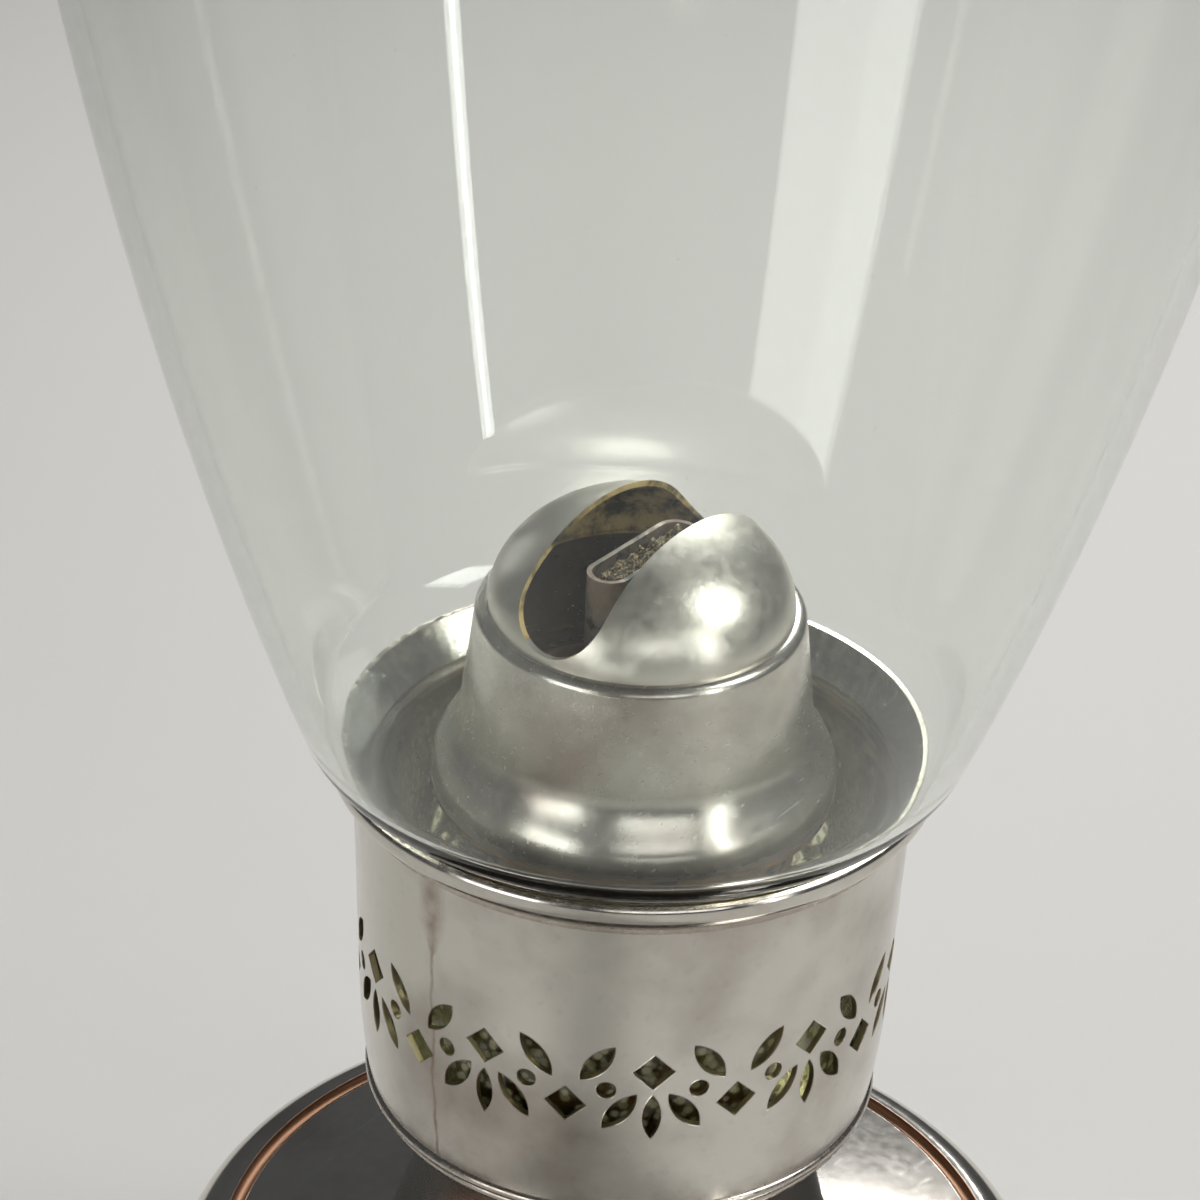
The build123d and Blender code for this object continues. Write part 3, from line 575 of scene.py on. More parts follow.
@dataclass
class Outline:
    """A turned piece's outline in its half plane, as radius and height in millimetres.

    Each point also carries how far the plate is worn through to copper there.
    """

    points: list[Point] = field(default_factory=list)
    wear: list[float] = field(default_factory=list)

    def to(self, radius: float, height: float, wear: float = 0.0) -> "Outline":
        """Adds a straight run to a point."""
        self.points.append((radius, height))
        self.wear.append(wear)
        return self

    def line(self, radius: float, height: float, steps: int) -> "Outline":
        """Adds a straight run to a point, in several steps.

        Args:
            radius: the point's radius.
            height: its height.
            steps: number of steps.

        Returns:
            This outline.
        """
        start = self.points[-1]
        for step in range(1, steps + 1):
            share = step / steps
            self.to(start[0] + (radius - start[0]) * share, start[1] + (height - start[1]) * share)
        return self

    def arc(
        self, centre: Point, radii: Point, first: float, last: float, steps: int, wear: float = 0.0
    ) -> "Outline":
        """Adds a stretch of a circle or ellipse.

        Args:
            centre: its centre.
            radii: its two half axes, across and up.
            first: angle of its first point, in degrees from outwards.
            last: angle of its last point.
            steps: number of chords.
            wear: wear along it.

        Returns:
            This outline.
        """
        for step in range(steps + 1):
            angle = math.radians(first + (last - first) * step / steps)
            self.to(centre[0] + radii[0] * math.cos(angle), centre[1] + radii[1] * math.sin(angle), wear)
        return self

    def curve(self, first: Point, second: Point, end: Point, steps: int, wear: float = 0.0) -> "Outline":
        """Adds a cubic curve from the last point.

        Args:
            first: handle of its start.
            second: handle of its end.
            end: its end.
            steps: number of chords.
            wear: wear along it.

        Returns:
            This outline.
        """
        corners = (self.points[-1], first, second, end)
        for step in range(1, steps + 1):
            t = step / steps
            shares = ((1 - t) ** 3, 3 * t * (1 - t) ** 2, 3 * t * t * (1 - t), t**3)
            radius, height = (
                sum(share * corner[axis] for share, corner in zip(shares, corners)) for axis in (0, 1)
            )
            self.to(radius, height, wear)
        return self

    def join(self, side: "Outline", direction: int) -> None:
        """Adds another outline, forwards (1) or backwards (-1)."""
        self.points += side.points[::direction]
        self.wear += side.wear[::direction]

    def inside(self, wall: float) -> list[Point]:
        """Works out the inside of a wall that has this outline.

        Args:
            wall: the wall's thickness.

        Returns:
            A point for each of the outline's, the wall's thickness inside it and square to it.
        """
        shifted = []
        last = len(self.points) - 1
        for index, (radius, height) in enumerate(self.points):
            before = self.points[max(index - 1, 0)]
            after = self.points[min(index + 1, last)]
            run, rise = after[0] - before[0], after[1] - before[1]
            length = math.hypot(run, rise)
            shifted.append((radius - wall * rise / length, height + wall * run / length))
        return shifted


def circle(centre: Point, radius: float, steps: int) -> list[Point]:
    """Even points round a circle."""
    turns = [2 * math.pi * step / steps for step in range(steps)]
    return [(centre[0] + radius * math.cos(turn), centre[1] + radius * math.sin(turn)) for turn in turns]


def smooth(mesh: Mesh) -> None:
    """Shades a mesh smooth, with its real corners kept sharp."""
    mesh.shade_smooth()
    mesh.set_sharp_from_angle(angle=SHARP_ANGLE)


def piece_of(name: str, shape: bmesh.types.BMesh) -> Object:
    """Makes an object of a closed shape.

    Args:
        name: the new object's name.
        shape: the shape. It is used up.

    Returns:
        The object, in the scene, with its faces turned outwards.
    """
    bmesh.ops.recalc_face_normals(shape, faces=shape.faces)
    mesh = bpy.data.meshes.new(name)
    shape.to_mesh(mesh)
    shape.free()
    piece = bpy.data.objects.new(name, mesh)
    bpy.context.scene.collection.objects.link(piece)
    return piece


def turned(
    name: str, outline: Outline, ripple: Callable[[float, float, float], float] | None = None
) -> Object:
    """Turns a closed outline round the lamp's axis into a closed mesh.

    Args:
        name: the new object's name.
        outline: the closed outline. A first and last point on the axis close it there.
        ripple: how far a point moves outwards, in millimetres, from its angle, radius and height.

    Returns:
        The new object.
    """
    shape = bmesh.new()
    layer = shape.verts.layers.float.new("wear")
    rings = []
    for (radius, height), wear in zip(outline.points, outline.wear):
        ring = []
        for step in range(1 if radius < ON_AXIS else TURN_STEPS):
            angle = 2 * math.pi * step / TURN_STEPS
            reach = radius + (ripple(angle, radius, height) if ripple else 0.0)
            place = Vector((reach * math.cos(angle), reach * math.sin(angle), height)) * MM
            ring.append(shape.verts.new(place))
            ring[-1][layer] = wear
        rings.append(ring)
    pairs = list(zip(rings, rings[1:]))
    if len(rings[0]) > 1:
        pairs.append((rings[-1], rings[0]))
    for lower, upper in pairs:
        for step in range(TURN_STEPS):
            after = (step + 1) % TURN_STEPS
            corners = [lower[step % len(lower)], lower[after % len(lower)]]
            corners += [upper[after % len(upper)], upper[step % len(upper)]]
            shape.faces.new(list(dict.fromkeys(corners)))
    piece = piece_of(name, shape)
    smooth(piece.data)
    return piece


def prisms(name: str, openings: list[list[Point]], start: float, end: float) -> Object:
    """Makes closed prisms along X from outlines in the YZ plane.

    Args:
        name: the new object's name.
        openings: closed outlines, as Y and Z in millimetres.
        start: X of their near ends.
        end: X of their far ends.

    Returns:
        The new object.
    """
    shape = bmesh.new()
    for opening in openings:
        ends = [[shape.verts.new(Vector((x, y, z)) * MM) for y, z in opening] for x in (start, end)]
        shape.faces.new(ends[0])
        shape.faces.new(ends[1])
        for index in range(len(opening)):
            after = (index + 1) % len(opening)
            shape.faces.new([ends[0][index], ends[0][after], ends[1][after], ends[1][index]])
    return piece_of(name, shape)


def ring_cut_tree() -> NodeTree:
    """Builds the tree that cuts openings, repeated round the lamp's axis, out of a wall.

    Returns:
        The tree. It takes the wall, a cutter, its repeats, their first angle and a finish.
    """
    tree = bpy.data.node_groups.new("ring_of_cuts", "GeometryNodeTree")
    add = partial(add_node, tree)
    for name, kind in (
        ("Wall", "NodeSocketGeometry"),
        ("Cutter", "NodeSocketObject"),
        ("Repeats", "NodeSocketInt"),
        ("First Angle", "NodeSocketFloat"),
        ("Finish", "NodeSocketMaterial"),
    ):
        tree.interface.new_socket(name, in_out="INPUT", socket_type=kind)
    tree.interface.new_socket("Wall", in_out="OUTPUT", socket_type="NodeSocketGeometry")
    given = add("NodeGroupInput").outputs
    cutter = add("GeometryNodeObjectInfo", {"Object": given["Cutter"]}).outputs["Geometry"]
    points = add("GeometryNodePoints", {"Count": given["Repeats"]})
    step = add("ShaderNodeMath", {0: 2 * math.pi, 1: given["Repeats"]}, operation="DIVIDE")
    steps = {0: add("GeometryNodeInputIndex"), 1: step, 2: given["First Angle"]}
    angle = add("ShaderNodeMath", steps, operation="MULTIPLY_ADD")
    euler = add("ShaderNodeCombineXYZ", {"Z": angle})
    rotation = add("FunctionNodeEulerToRotation", {0: euler})
    copies = {"Points": points, "Instance": cutter, "Rotation": rotation}
    ring = add("GeometryNodeInstanceOnPoints", copies)
    cutters = add("GeometryNodeRealizeInstances", {0: ring})
    meshes = {"Mesh 1": given["Wall"], "Mesh 2": cutters}
    cut = add("GeometryNodeMeshBoolean", meshes, operation="DIFFERENCE", solver="EXACT")
    whole = add("GeometryNodeRealizeInstances", {0: cut})
    dressed = add("GeometryNodeSetMaterial", {"Geometry": whole, "Material": given["Finish"]})
    add("NodeGroupOutput", {0: dressed})
    return tree


class Workshop:
    """Keeps the cutting tree and each node's body and slot, and puts dressed pieces in place of CAD nodes."""

    def __init__(self) -> None:
        """Makes the cutting tree and reads the record."""
        self.cut_tree = ring_cut_tree()
        self.body_of = {
            node: body
            for body, nodes in frame["record"]["behaviour"]["bodies"].items()
            for node in nodes
        }
        self.slot_of = {row["node"]: Slot(row["material_slot"]) for row in frame["record"]["subparts"]}

    def cut(
        self, piece: Object, cutter: Object, repeats: int, first_angle: float, finish: Material
    ) -> None:
        """Cuts a ring of openings out of a piece and leaves it a plain mesh.

        Args:
            piece: the wall.
            cutter: one repeat's openings, as closed prisms. It is used up.
            repeats: how often it comes round the axis.
            first_angle: angle of the first one, in degrees.
            finish: material for the result.
        """
        values = {
            "Cutter": cutter,
            "Repeats": repeats,
            "First Angle": math.radians(first_angle),
            "Finish": finish,
        }
        modifier = piece.modifiers.new("cuts", "NODES")
        modifier.node_group = self.cut_tree
        for item in self.cut_tree.interface.items_tree:
            if item.in_out == "INPUT" and item.name in values:
                modifier[item.identifier] = values[item.name]
        depsgraph = bpy.context.evaluated_depsgraph_get()
        mesh = bpy.data.meshes.new_from_object(piece.evaluated_get(depsgraph))
        piece.modifiers.remove(modifier)
        old = piece.data
        piece.data = mesh
        mesh.name = piece.name
        mesh.materials.clear()
        mesh.materials.append(finish)
        mesh.polygons.foreach_set("material_index", [0] * len(mesh.polygons))
        bpy.data.meshes.remove(old)
        bpy.data.meshes.remove(cutter.data)
        smooth(mesh)

    def refinish(self, piece: Object, finish: Material, chosen: Callable[[MeshPolygon], bool]) -> None:
        """Gives the faces of a piece that pass a test a second finish.

        Args:
            piece: the piece, with one finish.
            finish: the second finish.
            chosen: the test.
        """
        piece.data.materials.append(finish)
        for face in piece.data.polygons:
            if chosen(face):
                face.material_index = 1

    def place(self, piece: Object, node: str, finish: Material) -> None:
        """Puts a dressed piece in place of its CAD node.

        Args:
            piece: the new piece.
            node: the CAD node that it stands for.
            finish: its material, unless it has its own already.
        """
        if not piece.data.materials:
            piece.data.materials.append(finish)
        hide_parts(node)
        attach(piece, self.body_of[node])
        LOG.info("%s stands for %s, %d faces", piece.name, node, len(piece.data.polygons))

    def dress(self, finish: Material, *nodes: str) -> None:
        """Gives CAD nodes that keep their shapes a better finish.

        Args:
            finish: the finish.
            nodes: the nodes' names.
        """
        for node in nodes:
            materials = frame["nodes"][node].data.materials
            materials.clear()
            materials.append(finish)
            LOG.info("%s keeps its shape, in %s", node, finish.name)


def low(node: str) -> Vector:
    """Lowest corner of a CAD node, in millimetres."""
    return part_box(node)[0] / MM


def high(node: str) -> Vector:
    """Highest corner of a CAD node, in millimetres."""
    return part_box(node)[1] / MM


@dataclass
class Font:
    """The oil reservoir: bowl, top with its turned groove, foot ring and brass collar."""

    wall: float = 1.2
    shoulder_round: float = 6.0
    groove_width: float = 1.7
    groove_depth: float = 0.7
    groove_lead: Point = (0.3, 0.06)
    land_radius: float = 19.6
    collar_lap: float = 3.8
    bowl_round: float = 22.0
    bowl_ring_share: float = 0.6
    foot_seat: float = 4.0
    foot_spread: float = 10.0
    foot_edge: float = 1.8
    foot_round: float = 0.4
    foot_break: float = 0.3
    foot_handles: tuple[Point, Point] = ((0.45, 0.05), (0.18, 0.35))

    def build(self, workshop: Workshop, plate: Material, brass: Material) -> None:
        """Builds the font's pieces and puts them in place.

        Args:
            workshop: places the pieces.
            plate: finish of the outside.
            brass: finish of the collar.
        """
        workshop.place(turned("font_top", self._top()), "font_upper_shell", plate)
        workshop.place(turned("font_bowl", self._bowl()), "font_lower_shell", plate)
        workshop.place(turned("font_foot", self._foot()), "foot_ring", plate)
        workshop.dress(brass, "font_collar")

    def _top(self) -> Outline:
        """Draws the upper shell, with copper showing in the groove.

        Returns:
            The closed outline.
        """
        shoulder, crown = low("font_upper_shell").z, high("font_upper_shell")
        mouth = high("font_collar").x - self.collar_lap + SOLDER_GAP
        groove_outer = crown.x - self.shoulder_round
        groove_inner = groove_outer - self.groove_width
        shelf = shoulder + self.shoulder_round
        underside = crown.z - self.wall
        outline = Outline().to(mouth, underside).to(mouth, crown.z).to(self.land_radius, crown.z)
        outline.line(groove_inner - self.groove_lead[0], shelf + self.groove_lead[1], steps=12)
        outline.to(groove_inner, shelf, wear=0.8)
        middle = ((groove_inner + groove_outer) / 2, shelf)
        outline.arc(middle, (self.groove_width / 2, self.groove_depth), 170, 370, steps=10, wear=1.0)
        corner, thin = (groove_outer, shoulder), self.shoulder_round - self.wall
        outline.arc(corner, (self.shoulder_round, self.shoulder_round), 86, 0, steps=18)
        outline.arc(corner, (thin, thin), 0, 90, steps=10)
        return outline.to(groove_inner, shelf - self.wall).to(self.land_radius, underside)

    def _bowl(self) -> Outline:
        """Draws the lower shell, closed on the axis.

        Returns:
            The closed outline.
        """
        bottom, top = low("font_lower_shell"), high("font_lower_shell")
        flat, depth = top.x - self.bowl_round, top.z - bottom.z
        outline = Outline().to(0.0, bottom.z).to(flat * self.bowl_ring_share, bottom.z)
        outline.arc((flat, top.z), (self.bowl_round, depth), 270, 360, steps=36)
        outline.arc((flat, top.z), (self.bowl_round - self.wall, depth - self.wall), 360, 270, steps=24)
        return outline.to(0.0, bottom.z + self.wall)

    def _foot(self) -> Outline:
        """Draws the foot ring, worn at its lower edge.

        Returns:
            The closed outline.
        """
        bottom, top = low("foot_ring"), high("foot_ring")
        seat = top.x - self.foot_spread
        bore = seat - self.foot_seat
        tread, edge = top.x - self.foot_round, bottom.z + self.foot_edge
        outline = Outline().to(bore, bottom.z).to(tread, bottom.z, wear=0.5)
        rounding = (self.foot_round, self.foot_round)
        outline.arc((tread, bottom.z + self.foot_round), rounding, -90, 0, steps=4, wear=0.6)
        outline.to(top.x, edge - self.foot_break, wear=0.4).to(top.x - self.foot_break, edge, wear=0.4)
        rise = top.z - self.foot_edge
        (first_in, first_up), (second_out, second_up) = self.foot_handles
        outline.curve(
            (top.x - self.foot_spread * first_in, self.foot_edge + rise * first_up),
            (seat + self.foot_spread * second_out, self.foot_edge + rise * second_up),
            (seat, top.z),
            steps=14,
        )
        return outline.to(bore, top.z)


@dataclass
class Neck:
    """The drawn-in spool between font and gallery."""

    wall: float = 1.0
    waist_radius: float = 24.6
    waist_drop: float = 9.2
    curve: float = 45.0
    curve_steps: int = 24
    flange: float = 1.0
    foot_wear: float = 0.5
    hole_radius: float = 2.4
    hole_steps: int = 32
    hole_reach: Point = (15.0, 40.0)

    def build(self, workshop: Workshop, plate: Material) -> None:
        """Builds the neck and puts it in place.

        Args:
            workshop: cuts and places it.
            plate: its finish.
        """
        bottom, top = low("neck"), high("neck")
        waist = top.z - self.waist_drop

        def radius(height: float) -> float:
            """Outer radius of the spool at a height."""
            return self.waist_radius + self.curve - math.sqrt(self.curve**2 - (height - waist) ** 2)

        rise = top.z - bottom.z - self.flange
        levels = [bottom.z + rise * step / self.curve_steps for step in range(self.curve_steps + 1)]
        outline = Outline()
        for level in levels:
            outline.to(radius(level), level, self.foot_wear if level == levels[0] else 0.0)
        outline.to(top.x, top.z - self.flange).to(top.x, top.z).to(radius(top.z) - self.wall, top.z)
        for level in reversed(levels):
            outline.to(radius(level) - self.wall, level)
        piece = turned("neck_spool", outline)
        bush = (low("winder_spindle") + high("winder_spindle")) / 2
        hole = circle((bush.y, bush.z), self.hole_radius, self.hole_steps)
        workshop.cut(piece, prisms("bush_hole", [hole], *self.hole_reach), 1, 0.0, plate)
        workshop.place(piece, "neck", plate)


@dataclass
class Piercing:
    """One repeat of the pierced border, set out in millimetres from its upper lozenge."""

    repeats: int = 10
    first_angle: float = 7.6
    height: float = 20.6
    lozenge: float = 3.5
    leaf: Point = (6.4, 2.5)
    leaf_place: Point = (6.45, 1.0)
    leaf_tilt: float = 53.0
    leaf_steps: int = 12
    eye_radius: float = 1.15
    eye_place: Point = (5.35, -2.7)
    eye_steps: int = 24
    petal: Point = (6.4, 2.5)
    petal_place: Point = (3.75, -5.7)
    petal_tilt: float = 53.0
    middle_petal: Point = (6.4, 2.2)
    middle_place: Point = (0.0, -6.45)
    spacer_drop: float = 5.2

    def openings(self) -> list[list[Point]]:
        """Draws one repeat's openings.

        Returns:
            A closed outline for each.
        """
        found = [self._lozenge(0.0)]
        for side in (-1, 1):
            found.append(self._navette(self.leaf, side, self.leaf_place, -side * self.leaf_tilt))
            found.append(self._navette(self.petal, side, self.petal_place, -side * self.petal_tilt))
            eye = (side * self.eye_place[0], self.eye_place[1])
            found.append(circle(eye, self.eye_radius, self.eye_steps))
        found.append(self._navette(self.middle_petal, 0, self.middle_place, 90.0))
        return found

    def spacer(self) -> list[Point]:
        """Outline of the lozenge between two repeats."""
        return self._lozenge(-self.spacer_drop)

    def _lozenge(self, up: float) -> list[Point]:
        """A square on its corner, with its centre at a height."""
        half = self.lozenge / math.sqrt(2)
        return [(half, up), (0.0, up + half), (-half, up), (0.0, up - half)]

    def _navette(self, size: Point, side: int, place: Point, tilt: float) -> list[Point]:
        """A leaf with two pointed ends, between two arcs.

        Args:
            size: its length and width.
            side: -1 or 1 for the left or the right of the repeat, 0 for its middle.
            place: its centre, on the right.
            tilt: its turn, in degrees.

        Returns:
            Its outline.
        """
        length, width = size
        rise = width / 2
        radius = (length**2 / 4 + rise**2) / (2 * rise)
        reach = math.asin(length / 2 / radius)
        turn = math.radians(tilt)
        outline = []
        for flip in (1, -1):
            for step in range(self.leaf_steps):
                angle = (reach - 2 * reach * step / self.leaf_steps) * flip
                x, y = radius * math.sin(angle), flip * (radius * math.cos(angle) - radius + rise)
                across = side * place[0] + x * math.cos(turn) - y * math.sin(turn)
                outline.append((across, place[1] + x * math.sin(turn) + y * math.cos(turn)))
        return outline


@dataclass
class Gallery:
    """The pierced gallery: floor, double bead, tapered band and flared rim."""

    wall: float = 0.8
    foot_radius: float = 30.7
    foot_lean: float = 0.17
    curve_height: float = 12.0
    curve_swell: float = 1.2
    cut_inset: float = 2.8
    cut_beyond: float = 2.0
    end_reach: float = 0.01
    end_level: float = 0.9
    wall_facing: float = 0.7
    bead: float = 0.75
    bead_step: float = 0.9
    rim_step_height: float = 0.9
    rim_step: float = 0.9
    rim_corner: float = 0.15
    rim_step_break: Point = (0.25, 0.2)
    rim_handles: tuple[Point, Point] = ((1.5, 0.12), (0.15, 0.5))
    rim_crown_break: Point = (0.25, 0.3)
    rim_lip: float = 0.9
    piercing: Piercing = field(default_factory=Piercing)

    def build(
        self, workshop: Workshop, plate: Material, pierced: Material, edge: Material, brass: Material
    ) -> None:
        """Builds the gallery's pieces and puts them in place.

        Args:
            workshop: cuts and places the pieces.
            plate: finish of the floor, the beads and the rim.
            pierced: finish of the band.
            edge: finish of the pierced edges.
            brass: finish of the hidden brass.
        """
        workshop.place(self._band(workshop, pierced, edge), "gallery_band", pierced)
        workshop.place(turned("gallery_rim", self._rim()), "gallery_top_rim", plate)
        workshop.place(turned("gallery_beads", self._beads()), "gallery_bottom_ring", plate)
        workshop.dress(plate, "gallery_floor")
        workshop.dress(brass, "shade_rests")

    def _band(self, workshop: Workshop, plate: Material, edge: Material) -> Object:
        """Turns the band and pierces it.

        Args:
            workshop: cuts it.
            plate: its finish.
            edge: finish of its cut edges.

        Returns:
            The band.
        """
        bottom, top = low("gallery_band"), high("gallery_band")
        waist = self.foot_radius + self.curve_swell
        curve_level = bottom.z + self.curve_height
        slope = (top.x - waist) / (top.z - curve_level)
        handle = self.curve_height / 3
        outline = Outline()
        for inset, direction in ((0.0, 1), (self.wall, -1)):
            side = Outline().to(self.foot_radius - inset, bottom.z)
            side.curve(
                (self.foot_radius + self.foot_lean * handle - inset, bottom.z + handle),
                (waist - slope * handle - inset, curve_level - handle),
                (waist - inset, curve_level),
                steps=10,
            )
            outline.join(side.line(top.x - inset, top.z, steps=24), direction)
        piece = turned("gallery_band_pierced", outline)
        level = bottom.z + self.piercing.height
        start, end = self.foot_radius - self.cut_inset, top.x + self.cut_beyond
        first, repeats = self.piercing.first_angle, self.piercing.repeats
        for name, openings, angle in (
            ("piercing", self.piercing.openings(), first),
            ("piercing_spacer", [self.piercing.spacer()], first + 180 / repeats),
        ):
            raised = [[(across, level + up) for across, up in opening] for opening in openings]
            workshop.cut(piece, prisms(name, raised, start, end), repeats, angle, plate)

        def is_cut(face: MeshPolygon) -> bool:
            """Tells the edge of an opening from a side or an end of the band.

            Args:
                face: a face of the band.

            Returns:
                Whether it is the edge of an opening.
            """
            outward = Vector((face.center.x, face.center.y, 0)).normalized()
            above = (face.center.z / MM - bottom.z) % (top.z - bottom.z)
            is_end = abs(face.normal.z) > self.end_level and above < self.end_reach
            return abs(face.normal.dot(outward)) < self.wall_facing and not is_end

        workshop.refinish(piece, edge, is_cut)
        return piece

    def _rim(self) -> Outline:
        """Draws the rim: step, rolled bead and conical mouth, worn on the crown.

        Returns:
            The closed outline.
        """
        bottom, top = low("gallery_top_rim"), high("gallery_top_rim")
        band = high("gallery_band").x
        throat = band - self.wall
        step_radius, step_level = band + self.rim_step, bottom.z + self.rim_step_height
        outline = Outline().to(throat, bottom.z).to(step_radius - self.rim_corner, bottom.z, wear=0.5)
        break_in, break_down = self.rim_step_break
        outline.to(step_radius, bottom.z + self.rim_corner, wear=0.6)
        outline.to(step_radius, step_level - break_down, wear=0.5)
        outline.to(step_radius - break_in, step_level, wear=0.9)
        rise = top.z - step_level
        (first_out, first_up), (second_out, second_down) = self.rim_handles
        crown_in, crown_down = self.rim_crown_break
        outline.curve(
            (step_radius + first_out, step_level + rise * first_up),
            (top.x + second_out, top.z - rise * second_down),
            (top.x, top.z - crown_down),
            steps=14,
            wear=0.15,
        )
        outline.to(top.x - crown_in, top.z, wear=0.5).to(top.x - self.rim_lip, top.z, wear=0.3)
        return outline.to(throat, step_level)

    def _beads(self) -> Outline:
        """Draws the double bead under the band.

        Returns:
            The closed outline.
        """
        bottom, top = low("gallery_bottom_ring"), high("gallery_bottom_ring")
        bore = high("gallery_floor").x + SOLDER_GAP
        upper = self.foot_radius - self.bead / 2
        lower = upper - self.bead_step
        upper_level, lower_level = top.z - self.bead, bottom.z + self.bead
        radii = (self.bead, self.bead)
        outline = Outline().to(bore, bottom.z)
        outline.arc((lower, lower_level), radii, -90, 90, steps=12, wear=0.45)
        outline.to(lower, upper_level - self.bead, wear=0.9)
        outline.arc((upper, upper_level), radii, -90, 90, steps=12, wear=0.45)
        return outline.to(bore, top.z)


@dataclass
class Shade:
    """The blown glass bell in the gallery."""

    wall: float = 2.4
    neck_radius: float = 29.6
    neck_flare: float = 0.9
    neck_handle: float = 5.0
    rim_step_drop: float = 0.9
    overhang: float = 3.5
    shoulder_rise: float = 4.9
    shoulder_handle: float = 4.5
    slope: float = 0.389
    bell_handle: float = 45.7
    mouth_slope: float = 0.095
    mouth_inset: float = 0.1
    foot_inside: tuple[Point, Point] = ((0.05, 0.7), (0.5, 0.1))
    foot_outside: tuple[Point, Point] = ((-0.6, 0.0), (-0.1, 0.5))
    waviness: float = 0.1
    ripple_mm: float = 38.0
    ripple_stretch: float = 0.6
    ripple_start: float = 20.0

    def build(self, workshop: Workshop) -> None:
        """Builds the shade in blown glass, its neck filmed with oil, and puts it in place.

        Args:
            workshop: places it.
        """
        rim, step = high("gallery_top_rim"), low("gallery_top_rim").z - self.rim_step_drop

        def ripple(angle: float, radius: float, height: float) -> float:
            """Works out the slight unevenness of blown glass, none at the neck.

            Args:
                angle: a point's angle round the axis.
                radius: its radius.
                height: its height.

            Returns:
                How far the point moves outwards.
            """
            up = height * self.ripple_stretch
            place = Vector((radius * math.cos(angle), radius * math.sin(angle), up)) / self.ripple_mm
            grown = min(max((height - rim.z) / self.ripple_start, 0.0), 1.0)
            return self.waviness * grown * noise.noise(place)

        glass = BlownGlass("blown_glass", film_top_mm=step).build()
        workshop.place(turned("shade_bell", self._bell(rim, step), ripple), "glass_shade", glass)

    def _bell(self, rim: Vector, step: float) -> Outline:
        """Draws the shade: straight neck, round shoulder, bell, rounded lip and foot.

        Args:
            rim: highest corner of the gallery's rim.
            step: height at which the neck ends.

        Returns:
            Its outline.
        """
        bottom, top = low("glass_shade"), high("glass_shade")
        shoulder = (rim.x + self.overhang, rim.z + self.shoulder_rise)
        neck = (self.neck_radius + self.neck_flare, step)
        outer = Outline().to(self.neck_radius, bottom.z).line(neck[0], neck[1], steps=8)
        outer.curve(
            (neck[0], neck[1] + self.neck_handle),
            (shoulder[0] - self.slope * self.shoulder_handle, shoulder[1] - self.shoulder_handle),
            shoulder,
            steps=18,
        )
        half = self.wall / 2
        mouth = (top.x - self.mouth_inset, top.z - half)
        outer.curve(
            (shoulder[0] + self.slope * self.bell_handle, shoulder[1] + self.bell_handle),
            (mouth[0] - self.mouth_slope * self.bell_handle, mouth[1] - self.bell_handle),
            mouth,
            steps=70,
        )
        inner = outer.inside(self.wall)
        outline = Outline(outer.points[1:], outer.wear[1:])
        lip_in, lip_out = inner[-1], outer.points[-1]
        middle = ((lip_in[0] + lip_out[0]) / 2, (lip_in[1] + lip_out[1]) / 2)
        outline.arc(middle, (half, half), 30, 150, steps=4)
        for point in inner[:0:-1]:
            outline.to(*point)
        for radius, corners in (
            (self.neck_radius - self.wall, self.foot_inside),
            (self.neck_radius, self.foot_outside),
        ):
            for out, up in corners:
                outline.to(radius + out, bottom.z + up)
        return outline


